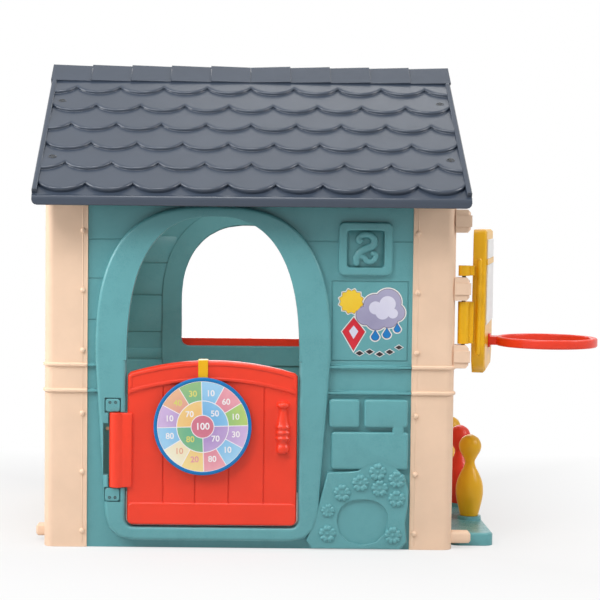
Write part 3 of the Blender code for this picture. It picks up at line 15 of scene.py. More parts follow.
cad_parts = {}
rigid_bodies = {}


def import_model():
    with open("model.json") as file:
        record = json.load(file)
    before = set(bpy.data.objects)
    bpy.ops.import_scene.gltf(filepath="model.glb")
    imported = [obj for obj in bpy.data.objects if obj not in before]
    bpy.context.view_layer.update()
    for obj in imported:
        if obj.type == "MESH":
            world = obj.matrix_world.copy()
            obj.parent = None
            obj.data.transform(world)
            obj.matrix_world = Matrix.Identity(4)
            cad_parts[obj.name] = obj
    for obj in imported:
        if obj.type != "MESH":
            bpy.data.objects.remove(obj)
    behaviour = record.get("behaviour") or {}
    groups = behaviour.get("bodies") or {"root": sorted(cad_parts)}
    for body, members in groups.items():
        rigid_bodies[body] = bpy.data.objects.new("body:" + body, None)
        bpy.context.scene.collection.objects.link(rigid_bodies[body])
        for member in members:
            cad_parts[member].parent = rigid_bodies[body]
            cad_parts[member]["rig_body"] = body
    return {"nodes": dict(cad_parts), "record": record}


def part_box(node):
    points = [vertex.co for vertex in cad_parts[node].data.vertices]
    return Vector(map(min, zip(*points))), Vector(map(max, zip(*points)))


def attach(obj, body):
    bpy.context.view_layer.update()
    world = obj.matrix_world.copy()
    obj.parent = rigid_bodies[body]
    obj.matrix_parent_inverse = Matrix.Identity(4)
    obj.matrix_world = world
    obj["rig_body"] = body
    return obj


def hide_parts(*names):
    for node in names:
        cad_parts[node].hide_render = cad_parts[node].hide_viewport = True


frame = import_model()
nodes = frame["nodes"]
body_of_node = {name: node["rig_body"] for name, node in nodes.items()}
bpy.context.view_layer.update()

# %% [markdown]
# The house stands square to the camera, seen from child height by a long lens. Its centre line is
# a little left of the world's middle, because the hoop reaches out to the right. All places below
# are given from the house's own centre line, so one shift turns them into the world's.

# %% Where the house is, and the depths of its faces
HOUSE_X = (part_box("front_wall")[0].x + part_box("front_wall")[1].x) / 2
FLANGE_FACE = -0.430
PANEL_FACE = -0.4257
ARCH_FACE = -0.4477
DOOR_FIELD = -0.4437


def at(x, y, z):
    """A point given from the house's centre line, in the world's frame."""
    return Vector((x + HOUSE_X, y, z))


print("house centre at x", round(HOUSE_X, 5))

# %% [markdown]
# The camera is worked out from the photograph: upright edges stay almost parallel, so the lens is
# long, about 96 mm, and 4.1 m away. It looks down by 3 degrees and leans by half a degree. The
# house sits left of the lens's axis, which a small sideways shift of the sensor gives.

# %% Camera
PITCH = math.radians(3.0)
LEAN = math.radians(0.55)
camera = bpy.data.objects.new("camera", bpy.data.cameras.new("camera"))
bpy.context.scene.collection.objects.link(camera)
camera.data.lens = 96.2
camera.data.sensor_width = 36.0
camera.data.shift_x = 0.115
camera.data.clip_end = 60
camera.matrix_world = (
    Matrix.Translation(at(-0.0499, -4.57, 0.8646))
    @ Matrix.Rotation(math.radians(90) - PITCH, 4, "X")
    @ Matrix.Rotation(LEAN, 4, "Z")
)
bpy.context.scene.camera = camera
bpy.context.scene.view_settings.view_transform = "Standard"
print("camera at", [round(x, 3) for x in camera.location])

# %% [markdown]
# The studio is white: a floor that fades to pure white away from the house, and a white world. Both
# show that white to the camera and to reflections only, so it doesn't flood the plastic with light.
# Soft lamps stand to the left, the right, above the front and behind the house, and a weak one
# hangs inside it. With the world's own light they add up to the level at which a colour renders
# about as it is written.

# %% Wrap a shader socket so that Python's operators add Math nodes
class Signal:
    """A number that changes over a surface."""

    def __init__(self, paint, socket):
        self.paint, self.socket = paint, socket

    def math(self, operation, *others):
        """This number and others through one Math node."""
        inputs = dict(enumerate((self, *others)))
        return self.paint.node("Math", {"operation": operation}, inputs)

    def __add__(self, other):
        return self.math("ADD", other)

    def __sub__(self, other):
        return self.math("SUBTRACT", other)

    def __mul__(self, other):
        return self.math("MULTIPLY", other)

    def __truediv__(self, other):
        return self.math("DIVIDE", other)

    def __gt__(self, other):
        return self.math("GREATER_THAN", other)

    def clamped(self):
        """This number kept between 0 and 1."""
        return self.math("MINIMUM", 1.0).math("MAXIMUM", 0.0)

    __radd__ = __add__
    __rmul__ = __mul__


class Paint:
    """One material or world, and the one method that adds a node to it."""

    def __init__(self, owner):
        owner.use_nodes = True
        self.owner, self.tree = owner, owner.node_tree

    def connect(self, socket, value):
        if isinstance(value, Signal):
            self.tree.links.new(value.socket, socket)
        elif isinstance(value, (tuple, Vector)) and len(socket.default_value) == 4:
            socket.default_value = (*value[:3], 1.0)
        else:
            socket.default_value = value

    def node(self, kind, settings=None, painted_shade_sockets=None, output=0):
        """Adds a node: its settings first, then its sockets' values or links. Gives one output."""
        made = self.tree.nodes.new("ShaderNode" + kind)
        for key, value in (settings or {}).items():
            setattr(made, key, value)
        for key, value in (painted_shade_sockets or {}).items():
            self.connect(made.inputs[key], value)
        return Signal(self, made.outputs[output])

    def mix(self, factor, first, second):
        """A colour between two others."""
        painted_shade_sockets = {0: factor, 6: first, 7: second}
        return self.node("Mix", {"data_type": "RGBA"}, painted_shade_sockets, 2)

    def seen(self):
        """1 for the camera's own rays and for reflections, 0 for light that falls on things."""
        path = self.node("LightPath")
        names = ("Is Camera Ray", "Is Glossy Ray", "Is Transmission Ray")
        rays = [Signal(self, path.socket.node.outputs[name]) for name in names]
        return (rays[0] + rays[1] + rays[2]).clamped()


# %% World, floor and lamps
WORLD_LEVEL = 0.28
world = bpy.data.worlds.new("studio")
bpy.context.scene.world = world
sky = Paint(world)
background = sky.tree.nodes["Background"]
background.inputs["Color"].default_value = (1, 1, 1, 1)
sky.connect(background.inputs["Strength"], WORLD_LEVEL + (1 - WORLD_LEVEL) * sky.seen())

floor_mesh = bmesh.new()
bmesh.ops.create_grid(floor_mesh, x_segments=1, y_segments=1, size=30)
floor = bpy.data.objects.new("floor", bpy.data.meshes.new("floor"))
floor_mesh.to_mesh(floor.data)
floor_mesh.free()
bpy.context.scene.collection.objects.link(floor)

FLOOR_SHADE = (0.66, 0.66, 0.66)
FOOTPRINT = (0.525, 0.425)
SHADOW_REACH = 0.85
LEAST_WHITE = 0.60
ground = Paint(bpy.data.materials.new("studio_floor"))
spot = ground.node("TexCoord", output=3)
across = ground.node("SeparateXYZ", None, {0: spot}, 0)
along = Signal(ground, across.socket.node.outputs[1])
beside = (across - HOUSE_X).math("ABSOLUTE") - FOOTPRINT[0]
away = beside.math("MAXIMUM", along.math("ABSOLUTE") - FOOTPRINT[1])
fade = (LEAST_WHITE + (1 - LEAST_WHITE) * (away / SHADOW_REACH).clamped()) * (away > 0)
matte = ground.node("BsdfDiffuse", None, {"Color": FLOOR_SHADE})
white = ground.node("Emission", None, {"Color": (1, 1, 1), "Strength": 1.0})
shown = ground.node("MixShader", None, {0: fade * ground.seen(), 1: matte, 2: white})
ground.connect(ground.tree.nodes["Material Output"].inputs["Surface"], shown)
floor.data.materials.append(ground.owner)


def lamp(name, place, target, size, power):
    """A square soft lamp aimed at a point."""
    light = bpy.data.lights.new(name, "AREA")
    light.size, light.energy = size, power
    made = bpy.data.objects.new(name, light)
    made.location = place
    made.rotation_euler = (Vector(target) - Vector(place)).to_track_quat("-Z", "Y").to_euler()
    bpy.context.scene.collection.objects.link(made)
    return made


lamp("key_lamp", (-2.2, -2.8, 3.2), (0, 0, 0.6), 1.4, 62)
lamp("brow_lamp", (-0.2, -1.70, 3.2), (-0.2, -0.35, 0.5), 1.2, 36)
lamp("left_lamp", (-2.9, -0.9, 1.7), (0, -0.3, 0.8), 1.3, 48)
lamp("right_lamp", (2.9, -1.3, 2.3), (0, -0.3, 0.8), 1.2, 42)
lamp("back_lamp", (0.6, 3.2, 3.6), (0, 0, 0.9), 2.2, 45)
lamp("window_lamp", (-0.2, 2.6, 1.1), (-0.2, 0, 0.5), 1.4, 16)
indoors = lamp("indoor_lamp", (HOUSE_X, 0, 1.0), (HOUSE_X, 0.05, 0), 0.4, 2.2)
indoors.visible_camera = False

# %% [markdown]
# Every panel is thick coloured plastic, dyed through, so it has no paint to chip. What the eye
# reads as plastic is small: cloudy colour from the moulding, a fine satin grain, and rims that a
# mould can't make sharp. The grain and the clouds are noise on Object coordinates. The Bevel node
# rounds the shading of the small rims that the meshes below leave sharp.

# %% Moulded plastic
RIM = 0.0016
CLOUD_SCALE, GRAIN_SCALE = 9.0, 700.0
CLOUD_FLOOR, CLOUD_GAIN = 0.35, 3.3


def plastic(name, colour, rough=0.42, cloud=0.05, grain=0.35, rim=RIM, shine=0.35):
    """A dyed plastic: a colour, its roughness, cloudiness and grain, its rims and its shine."""
    paint = Paint(bpy.data.materials.new(name))
    shader = paint.tree.nodes["Principled BSDF"]
    shader.inputs["Specular IOR Level"].default_value = shine
    where = paint.node("TexCoord", output=3)
    clouds = paint.node(
        "TexNoise", None, {"Vector": where, "Scale": CLOUD_SCALE, "Detail": 4.0, "Roughness": 0.6}
    )
    pale = tuple(min(1.0, c * (1 + cloud)) for c in colour)
    deep = tuple(c * (1 - cloud) for c in colour)
    tone = ((clouds - CLOUD_FLOOR) * CLOUD_GAIN).clamped()
    paint.connect(shader.inputs["Base Color"], paint.mix(tone, deep, pale))
    fine = paint.node(
        "TexNoise", None, {"Vector": where, "Scale": GRAIN_SCALE, "Detail": 2.0, "Roughness": 0.5}
    )
    paint.connect(shader.inputs["Roughness"], (clouds - 0.5) * 0.05 + fine * 0.06 + (rough - 0.03))
    soft = paint.node("Bevel", {"samples": 6}, {"Radius": rim})
    bump = paint.node(
        "Bump", None, {"Strength": grain, "Distance": 0.0002, "Height": fine, "Normal": soft}
    )
    paint.connect(shader.inputs["Normal"], bump)
    return paint


TEAL = (0.117, 0.351, 0.376)
BEIGE = (0.855, 0.610, 0.440)
SLATE = (0.040, 0.054, 0.080)
RED = (0.860, 0.046, 0.016)
YELLOW = (0.840, 0.445, 0.006)
BLUE = (0.003, 0.165, 0.440)
WHITE = (0.850, 0.850, 0.840)
plastics = {
    "teal_plastic": plastic("teal_plastic", TEAL, 0.28, 0.035, rim=0.0024, shine=0.45).owner,
    "beige_plastic": plastic("beige_plastic", BEIGE, 0.48, 0.03).owner,
    "slate_plastic": plastic("slate_plastic", SLATE, 0.24, 0.04, rim=0.0034, shine=0.5).owner,
    "red_plastic": plastic("red_plastic", RED, 0.32, 0.03, rim=0.0034, shine=0.4).owner,
    "yellow_plastic": plastic("yellow_plastic", YELLOW, 0.32, 0.03, rim=0.0030).owner,
    "blue_plastic": plastic("blue_plastic", BLUE, 0.42, 0.05).owner,
    "white_plastic": plastic("white_plastic", WHITE, 0.42, 0.02).owner,
    "target_print": plastic("target_print", WHITE, 0.42, 0.02).owner,
    "steel": plastic("steel", (0.050, 0.055, 0.060), 0.32, 0.05).owner,
}
slot_of_node = {
    entry["node"]: entry["material_slot"]
    for entry in frame["record"]["subparts"]
}
print("finishes:", sorted(plastics))

# %% [markdown]
# The CAD nodes arrive as loose triangles. A copy of each is merged into one skin, its flat faces
# are made whole again, and it is shaded smooth wherever it turns by less than 52 degrees. The copy
# stands in for its node and rides on the same body, so it follows the door or the hoop's board.
# The edges of the roof's lip are rounded in the copy, as soft as the photograph shows them.

# %% Dress a CAD node
MERGE = 0.00002
FLAT = math.radians(0.3)
CREASE = math.radians(35)
CHAMFER_CREASE = math.radians(52)
ROOFS = ("roof_front", "roof_back")
EAVE_FROM = 0.5295
EAVE_EDGES = ((0.905, 0.930, 0.0065), (0.880, 0.895, 0.0040))
EAVE_TURN = math.radians(30)
LEVEL_WITHIN = 0.0005


def keep(name, mesh, body, slot, *stands_for, material=None, crease=CREASE):
    """A finished piece from a bmesh: it rides on a body and may stand for CAD nodes."""
    data = bpy.data.meshes.new(name)
    mesh.to_mesh(data)
    mesh.free()
    if data.has_custom_normals:
        data.attributes.remove(data.attributes["custom_normal"])
    data.shade_smooth()
    data.set_sharp_from_angle(angle=crease)
    for finish in material if isinstance(material, list) else [material or plastics[slot]]:
        data.materials.append(finish)
    made = bpy.data.objects.new(name, data)
    bpy.context.scene.collection.objects.link(made)
    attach(made, body)
    if stands_for:
        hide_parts(*stands_for)
    return made


def rounded_edges(mesh, edges, radius, steps=4):
    """Rounds edges by a radius."""
    bmesh.ops.bevel(
        mesh, geom=edges, offset=radius, segments=steps, profile=0.5, affect="EDGES", material=-1
    )


def merged(node):
    """A CAD node's triangles as one closed skin with whole flat faces."""
    mesh = bmesh.new()
    mesh.from_mesh(nodes[node].data)
    bmesh.ops.remove_doubles(mesh, verts=mesh.verts, dist=MERGE)
    bmesh.ops.dissolve_limit(mesh, angle_limit=FLAT, verts=mesh.verts, edges=mesh.edges)
    return mesh


def soft_eave(mesh):
    """Rounds the long upper and lower edge of a roof half's lip."""
    for low, high, radius in EAVE_EDGES:
        lip = [
            edge for edge in mesh.edges
            if all(abs(vert.co.y) > EAVE_FROM and low < vert.co.z < high for vert in edge.verts)
            and abs(edge.verts[0].co.z - edge.verts[1].co.z) < LEVEL_WITHIN
            and len(edge.link_faces) == 2 and edge.calc_face_angle() > EAVE_TURN
        ]
        rounded_edges(mesh, lip, radius)
        print("lip edges rounded:", len(lip))


def dress(node):
    """The node's shape in its finish. Chamfers shade as rounds, and big flat faces stay flat."""
    mesh = merged(node)
    if node in ROOFS:
        soft_eave(mesh)
    made = keep(
        node + "_moulding", mesh, body_of_node[node], slot_of_node[node], node,
        crease=CHAMFER_CREASE,
    )
    shading = made.modifiers.new("flat_faces_lead", "WEIGHTED_NORMAL")
    shading.keep_sharp, shading.weight = True, 60
    return made


skittles = ("skittle_1", "skittle_2", "skittle_3")
rivets = [node for node in nodes if "_rivet_" in node]
caps = ("hinge_cap_upper", "hinge_cap_lower")
screws = [node for node in nodes if "_screw_" in node]
remade = {"dart_rim", "dart_face", *skittles, *rivets, *caps, *screws}
dressed = {node: dress(node) for node in nodes if node not in remade}
print("dressed", len(dressed), "nodes,", len(remade), "are made anew")

# %% [markdown]
# Roof tiles. Each row is one moulded strip whose lower edge runs in nine arcs, every second row
# shifted by half a tile. It could be an array of single tiles, or one strip; the real panel is one
# moulding without joints between tiles, so it is a strip. Its outline is one face, let down into
# the roof, and only the scalloped rim is rounded, by 6 mm, which catches the light.

# %% Scalloped tile rows with rounded rims
ROOF_PITCH = math.radians(34.3)
ROOF_APEX = 1.272
ROOF_LENGTH, RAKE_BEADS = 1.11, 0.024
TILE_COUNT, TILE_ROWS = 9, 6
TILE_HALF = (ROOF_LENGTH - RAKE_BEADS) / TILE_COUNT / 2
TILE_SAG = 0.037
ROW_PITCH = 0.097
FIRST_ROW = 0.100
TILE_STEP = 0.0115
TILE_OUT = 0.0024
TILE_COVER = 0.0014
TILE_RIM = 0.0060
FIRST_TOP, TOP_LAP = 0.002, 0.005
TILE_SINK = 0.002
FACE_INSET = 0.0005
ARC_STEPS = 14
SLOPE_NORMAL = Vector((0, -math.sin(ROOF_PITCH), math.cos(ROOF_PITCH)))
TO_CENTRE = Matrix.Translation(at(0, 0, 0))
HALF_TURN = TO_CENTRE @ Matrix.Rotation(math.pi, 4, "Z") @ TO_CENTRE.inverted()


def on_slope(x, down, height):
    """A point of the front slope: along the ridge, down from the apex and square out of it."""
    y = -down * math.cos(ROOF_PITCH) - height * math.sin(ROOF_PITCH)
    return at(x, y, ROOF_APEX - down * math.sin(ROOF_PITCH) + height * math.cos(ROOF_PITCH))


def scallops(offset):
    """A row's lower edge as (x, drop below the row's line), from left to right."""
    radius = (TILE_HALF ** 2 + TILE_SAG ** 2) / (2 * TILE_SAG)
    wide = radius + TILE_OUT
    reach = math.asin(TILE_HALF / wide)
    end = TILE_COUNT * TILE_HALF
    edge_drop = TILE_SAG + TILE_OUT if offset else wide * math.cos(reach) - radius + TILE_SAG
    points = [(-end, edge_drop)]
    for tile in range(TILE_COUNT + offset):
        centre = -end + TILE_HALF * (2 * tile + 1 - offset)
        for step in range(ARC_STEPS + 1):
            turn = reach * (2 * step / ARC_STEPS - 1)
            x = centre + wide * math.sin(turn)
            if points[-1][0] + 0.001 < x < end - 0.001:
                points.append((x, wide * math.cos(turn) - radius + TILE_SAG))
    return points + [(end, edge_drop)]


def tile_row(rows, index):
    """Adds one row to the mesh: its outline, let down into the roof, its lower rim rounded."""
    line = FIRST_ROW + index * ROW_PITCH
    top = line - ROW_PITCH - TOP_LAP if index else FIRST_TOP
    rise = TILE_STEP / (line + TILE_SAG - top)
    end = TILE_COUNT * TILE_HALF
    lower = [(x, line + drop) for x, drop in scallops(1 - index % 2)]
    outline = [(-end, top), (end, top)] + lower[::-1]
    places = [on_slope(x, down, rise * (down - top) + TILE_COVER) for x, down in outline]
    corners = [rows.verts.new(place) for place in places]
    lines = {tuple(corner.co) for corner in corners[2:]}
    cover = bmesh.ops.extrude_face_region(rows, geom=[rows.faces.new(corners)])["geom"]
    for corner in corners:
        corner.co -= SLOPE_NORMAL * (corner.co - on_slope(0, 0, -TILE_SINK)).dot(SLOPE_NORMAL)
    edges = [item for item in cover if isinstance(item, bmesh.types.BMEdge)]
    rim = [edge for edge in edges if all(tuple(vert.co) in lines for vert in edge.verts)]
    rounded_edges(rows, rim, TILE_RIM)


def tiled(name, matrix):
    """All rows of one slope as one piece. A narrow inset keeps each big face's shading flat."""
    rows = bmesh.new()
    for index in range(TILE_ROWS):
        tile_row(rows, index)
    bmesh.ops.recalc_face_normals(rows, faces=rows.faces)
    big = [f for f in rows.faces if len(f.verts) > 40 and f.normal.dot(SLOPE_NORMAL) > 0.5]
    bmesh.ops.inset_individual(rows, faces=big, thickness=FACE_INSET)
    bmesh.ops.transform(rows, matrix=matrix, verts=rows.verts)
    return keep(name, rows, "house", "slate_plastic")


roof_tiles = [tiled("roof_tiles_front", Matrix()), tiled("roof_tiles_back", HALF_TURN)]
print("tile rows:", [len(piece.data.polygons) for piece in roof_tiles], "faces")

# %% [markdown]
# The front's reliefs are drawn lying down, x to the right, y up the wall and z out of it, and then
# stood up against it. A few helpers serve them all: they make soft blocks, balls and shapes turned
# as on a lathe, and pour small meshes into a bigger one.

# %% Helpers for soft moulded shapes
UPRIGHT = Matrix.Rotation(math.radians(90), 4, "X")
HAIR = 0.0003
TOUCH = 0.000001


def moved(mesh, matrix):
    """The same mesh, moved by a matrix."""
    bmesh.ops.transform(mesh, matrix=matrix, verts=mesh.verts)
    return mesh


def raised(mesh, faces, height):
    """Extrudes lying faces upwards, and turns all normals out."""
    top = bmesh.ops.extrude_face_region(mesh, geom=faces)["geom"]
    top = [item for item in top if isinstance(item, bmesh.types.BMVert)]
    bmesh.ops.translate(mesh, vec=(0, 0, height), verts=top)
    bmesh.ops.recalc_face_normals(mesh, faces=mesh.faces)
    return mesh


def pour(big, small, matrix=Matrix()):
    """Moves a small mesh and adds it to a bigger one."""
    moved(small, matrix)
    shelf = bpy.data.meshes.new("shelf")
    small.to_mesh(shelf)
    small.free()
    big.from_mesh(shelf)
    bpy.data.meshes.remove(shelf)


def on_front(x, z, face):
    """The matrix that stands a lying shape against a face of the front."""
    return Matrix.Translation(at(x, face, z)) @ UPRIGHT


def soft_block(width, height, depth, corner, rim, steps=4):
    """A lying block with rounded upright corners and a rounded upper rim."""
    made = bmesh.new()
    bmesh.ops.create_cube(made, size=1)
    bmesh.ops.scale(made, vec=(width, height, depth), verts=made.verts)
    bmesh.ops.translate(made, vec=(0, 0, depth / 2), verts=made.verts)
    upright = [e for e in made.edges if abs(e.verts[0].co.z - e.verts[1].co.z) > depth / 2]
    rounded_edges(made, upright, corner, steps)
    top = [e for e in made.edges if min(vert.co.z for vert in e.verts) > depth - TOUCH]
    rounded_edges(made, top, rim, steps)
    return made


def slab(mesh, across, up, face, depth, corner, rim, steps=4, turn=Matrix(), grow=0.0):
    """Adds a soft block between two limits across and two up, its underside on a face."""
    width, height = (pair[1] - pair[0] + 2 * grow for pair in (across, up))
    block = soft_block(width, height, depth, corner, rim, steps)
    pour(mesh, block, turn @ on_front(sum(across) / 2, sum(up) / 2, face))


def turned(profile, steps, closed=False):
    """A shape turned round Z from (radius, height) pairs. A closed profile makes a ring."""
    made = bmesh.new()
    line = [made.verts.new((radius, 0, height)) for radius, height in profile]
    ends = line[1:] + line[:1] if closed else line[1:]
    edges = [made.edges.new(pair) for pair in zip(line, ends)]
    bmesh.ops.spin(
        made, geom=line + edges, axis=(0, 0, 1), cent=(0, 0, 0), angle=math.tau, steps=steps,
        use_merge=True,
    )
    bmesh.ops.remove_doubles(made, verts=made.verts, dist=TOUCH)
    bmesh.ops.recalc_face_normals(made, faces=made.faces)
    return made


def ball(size, turn=0.0, place=(0, 0, 0), rings=8):
    """A ball stretched to a size in three directions, turned about Z and moved."""
    made = bmesh.new()
    bmesh.ops.create_uvsphere(made, u_segments=2 * rings, v_segments=rings, radius=1)
    shape = Matrix.Diagonal((*size, 1))
    return moved(made, Matrix.Rotation(turn, 4, "Z") @ Matrix.Translation(place) @ shape)


# %% [markdown]
# The stones beside the door are cushions of plastic with deep gaps between them. A Bevel modifier
# on the wall would round every edge of it, so each stone is a block of its own, a hair larger than
# the wall's own stone.

# %% Stones
STONE_PROUD, STONE_CORNER, STONE_RIM = 0.015, 0.008, 0.0055
STONES = (
    (0.207, 0.286, 0.3205, 0.393),
    (0.298, 0.411, 0.3205, 0.393),
    (0.214, 0.413, 0.2110, 0.308),
    (0.372, 0.401, 0.3000, 0.328),
)
stones = bmesh.new()
for left, right, low, high in STONES:
    limits = (left, right), (low, high)
    slab(stones, *limits, PANEL_FACE, STONE_PROUD + HAIR, STONE_CORNER, STONE_RIM, grow=HAIR)
stone_relief = keep("stone_relief", stones, "house", "teal_plastic")
print("stones:", len(stone_relief.data.polygons), "faces")

# %% [markdown]
# The flowers stand on a flat mound around a blank sunken oval. Each has five petals and a bead. A
# petal is notched at its tip, so it is made of two balls side by side, pressed flat and half sunk
# into the mound. Balls need few faces and catch the light at their crowns, as in the photograph.

# %% Flowers
GARDEN_FACE = PANEL_FACE - 0.019
PETALS = 5
PETAL_REACH = 0.0148
LOBE_SIZE = (0.0082, 0.0070, 0.0064)
LOBE_TURN = math.radians(14)
BEAD_SIZE = (0.0046, 0.0046, 0.0062)
FLOWERS = (
    (0.334, 0.205, 1.0), (0.290, 0.176, 1.0), (0.340, 0.163, 1.0), (0.384, 0.186, 1.0),
    (0.243, 0.150, 1.0), (0.384, 0.136, 1.0), (0.207, 0.103, 0.8), (0.206, 0.043, 1.0),
    (0.376, 0.040, 1.0),
)


def flower():
    """One lying flower of five notched petals and a bead."""
    made = bmesh.new()
    for petal in range(PETALS):
        middle = math.radians(90) + math.tau * petal / PETALS
        for side in (-1, 1):
            pour(made, ball(LOBE_SIZE, middle + side * LOBE_TURN, (PETAL_REACH, 0, 0)))
    pour(made, ball(BEAD_SIZE))
    return made


blossoms = bmesh.new()
for x, z, size in FLOWERS:
    pour(blossoms, flower(), on_front(x, z, GARDEN_FACE) @ Matrix.Diagonal((size, size, size, 1)))
flower_relief = keep("flower_relief", blossoms, "house", "teal_plastic")
print("flowers:", len(FLOWERS), "with", len(flower_relief.data.polygons), "faces")

# %% [markdown]
# The house number sits in a soft square frame: a grid of nine cells without the middle one, raised,
# its corners and rims rounded. The 2 is drawn with a brush of changing width. A Bezier curve with a
# radius at each point gives that, its tube is flattened to a low relief, and balls close its ends.
# It is a little thicker than the CAD's own digit, which it covers.

# %% House number
PLAQUE = (0.2965, 0.783)
PLAQUE_SIZE, PLAQUE_RECESS, PLAQUE_PROUD = 0.138, 0.096, 0.012
PLAQUE_CORNERS = (0.014, 0.007)
PLAQUE_RIMS = (0.0055, 0.003)
GROUND_SIZE = PLAQUE_RECESS + 0.002
GROUND_FORM = (0.0008, 0.006, 0.0003)
DIGIT_STROKES = (
    (
        (-0.0165, 0.0205, 0.0075), (-0.0175, 0.0275, 0.0062), (-0.0100, 0.0345, 0.0062),
        (0.0025, 0.0370, 0.0065), (0.0165, 0.0325, 0.0070), (0.0225, 0.0210, 0.0080),
        (0.0180, 0.0095, 0.0085), (0.0060, 0.0030, 0.0085), (-0.0100, -0.0045, 0.0080),
        (-0.0205, -0.0150, 0.0080), (-0.0240, -0.0270, 0.0080), (-0.0235, -0.0370, 0.0070),
    ),
    (
        (-0.0165, -0.0210, 0.0050), (-0.0050, -0.0215, 0.0060), (0.0040, -0.0310, 0.0065),
        (0.0150, -0.0325, 0.0060), (0.0245, -0.0255, 0.0060), (0.0265, -0.0150, 0.0060),
        (0.0195, -0.0115, 0.0055),
    ),
)
DIGIT_FLATNESS = 0.70
DIGIT_LIFT = 0.0046
DIGIT_GROWTH = 0.0016


def square_frame(outer, inner, depth, corners, rims):
    """A lying square frame with rounded corners and rims."""
    made = bmesh.new()
    bmesh.ops.create_grid(made, x_segments=3, y_segments=3, size=outer / 2)
    for vert in made.verts:
        for axis in (0, 1):
            if abs(vert.co[axis]) < outer / 3:
                vert.co[axis] = math.copysign(inner / 2, vert.co[axis])
    middle = min(made.faces, key=lambda face: face.calc_center_median().length)
    bmesh.ops.delete(made, geom=[middle], context="FACES")
    raised(made, made.faces[:], depth)
    for half, corner in zip((outer / 2, inner / 2), corners):
        upright = [
            edge for edge in made.edges
            if all(abs(abs(x) - half) < TOUCH for vert in edge.verts for x in vert.co[:2])
            and abs(edge.verts[0].co.z - edge.verts[1].co.z) > depth / 2
        ]
        rounded_edges(made, upright, corner)
    for is_outer, rim in zip((True, False), rims):
        sharp = [
            edge for edge in made.edges
            if min(vert.co.z for vert in edge.verts) > depth - TOUCH
            and min(face.normal.z for face in edge.link_faces) < 0.5
            and (max(abs(x) for vert in edge.verts for x in vert.co[:2]) > inner * 0.55) is is_outer
        ]
        rounded_edges(made, sharp, rim)
    return made


def brush_stroke(points):
    """A lying tube through (across, up, radius) points, with balls on its ends."""
    curve = bpy.data.curves.new("stroke", "CURVE")
    curve.dimensions, curve.bevel_depth, curve.bevel_resolution = "3D", 1.0, 5
    curve.resolution_u, curve.use_fill_caps = 5, True
    spline = curve.splines.new("BEZIER")
    spline.bezier_points.add(len(points) - 1)
    for point, (x, y, radius) in zip(spline.bezier_points, points):
        point.co, point.radius = (x, y, 0), radius + DIGIT_GROWTH
        point.handle_left_type = point.handle_right_type = "AUTO"
    holder = bpy.data.objects.new("stroke", curve)
    made = bmesh.new()
    tube = bpy.data.meshes.new_from_object(holder)
    made.from_mesh(tube)
    bmesh.ops.remove_doubles(made, verts=made.verts, dist=TOUCH)
    bpy.data.objects.remove(holder)
    for x, y, radius in (points[0], points[-1]):
        pour(made, ball([radius + DIGIT_GROWTH] * 3), Matrix.Translation((x, y, 0)))
    bmesh.ops.scale(made, vec=(1, 1, DIGIT_FLATNESS), verts=made.verts)
    return made


number = square_frame(
    PLAQUE_SIZE + 2 * HAIR, PLAQUE_RECESS, PLAQUE_PROUD + HAIR, PLAQUE_CORNERS, PLAQUE_RIMS
)
moved(number, on_front(*PLAQUE, PANEL_FACE))
ground_plate = soft_block(GROUND_SIZE, GROUND_SIZE, *GROUND_FORM, 2)
pour(number, ground_plate, on_front(*PLAQUE, PANEL_FACE))
for points in DIGIT_STROKES:
    pour(number, brush_stroke(points), on_front(*PLAQUE, PANEL_FACE - DIGIT_LIFT))
number_plaque = keep("number_plaque", number, "house", "teal_plastic")
print("house number:", len(number_plaque.data.polygons), "faces")

# %% [markdown]
# The target is a blue dish with a printed face. Its sectors could be worked out in one material
# from the angle, but edges in a baked material blur, so they are faces: a disc is spun, its faces
# are gathered by angle and ring, and each region is inset, which leaves the white lines between
# them. The inks fade towards the rim, and the print hangs 2 degrees askew.

# %% Inks
TARGET = (-0.120, 0.322)
TARGET_BACK = -0.4528
BULL, INNER_RING, PRINT = 0.0295, 0.0667, 0.1172


def seen_colour(red, green, blue):
    """A shader colour from one as a picture holds it, 0 to 255."""
    return tuple(((x / 255 + 0.055) / 1.055) ** 2.4 for x in (red, green, blue))


def ink(name, deep, pale, centre, reach):
    """A satin printing ink that goes from deep to pale away from a point of the front."""
    paint = Paint(bpy.data.materials.new(name))
    shader = paint.tree.nodes["Principled BSDF"]
    shader.inputs["Specular IOR Level"].default_value = 0.4
    where = paint.node("TexCoord", output=3)
    middle = at(centre[0], 0, centre[1])
    offset = paint.node("VectorMath", {"operation": "SUBTRACT"}, {0: where, 1: middle})
    flat = paint.node("VectorMath", {"operation": "MULTIPLY"}, {0: offset, 1: Vector((1, 0, 1))})
    far = paint.node("VectorMath", {"operation": "LENGTH"}, {0: flat}, 1)
    cloud = paint.node("TexNoise", None, {"Vector": where, "Scale": 60.0, "Detail": 3.0})
    share = ((far - reach[0]) / (reach[1] - reach[0]) + (cloud - 0.5) * 0.35).clamped()
    colour = paint.mix(share, seen_colour(*deep), seen_colour(*pale))
    paint.connect(shader.inputs["Base Color"], colour)
    paint.connect(shader.inputs["Roughness"], 0.42 + (cloud - 0.5) * 0.2)
    return paint.owner


INKS = {
    "white": ((236, 232, 236), (240, 236, 236)), "sky": ((112, 176, 222), (160, 206, 236)),
    "rose": ((206, 118, 138), (234, 164, 176)), "leaf": ((112, 180, 124), (184, 208, 118)),
    "violet": ((168, 140, 196), (208, 182, 222)), "cream": ((240, 214, 158), (236, 232, 210)),
    "gold": ((236, 186, 118), (238, 218, 150)), "apricot": ((214, 138, 144), (232, 184, 146)),
    "jade": ((100, 174, 144), (150, 190, 132)), "lemon": ((214, 208, 112), (220, 214, 120)),
}
inks = {name: ink("ink_" + name, *pair, TARGET, (0.02, PRINT)) for name, pair in INKS.items()}
print("inks:", len(inks))

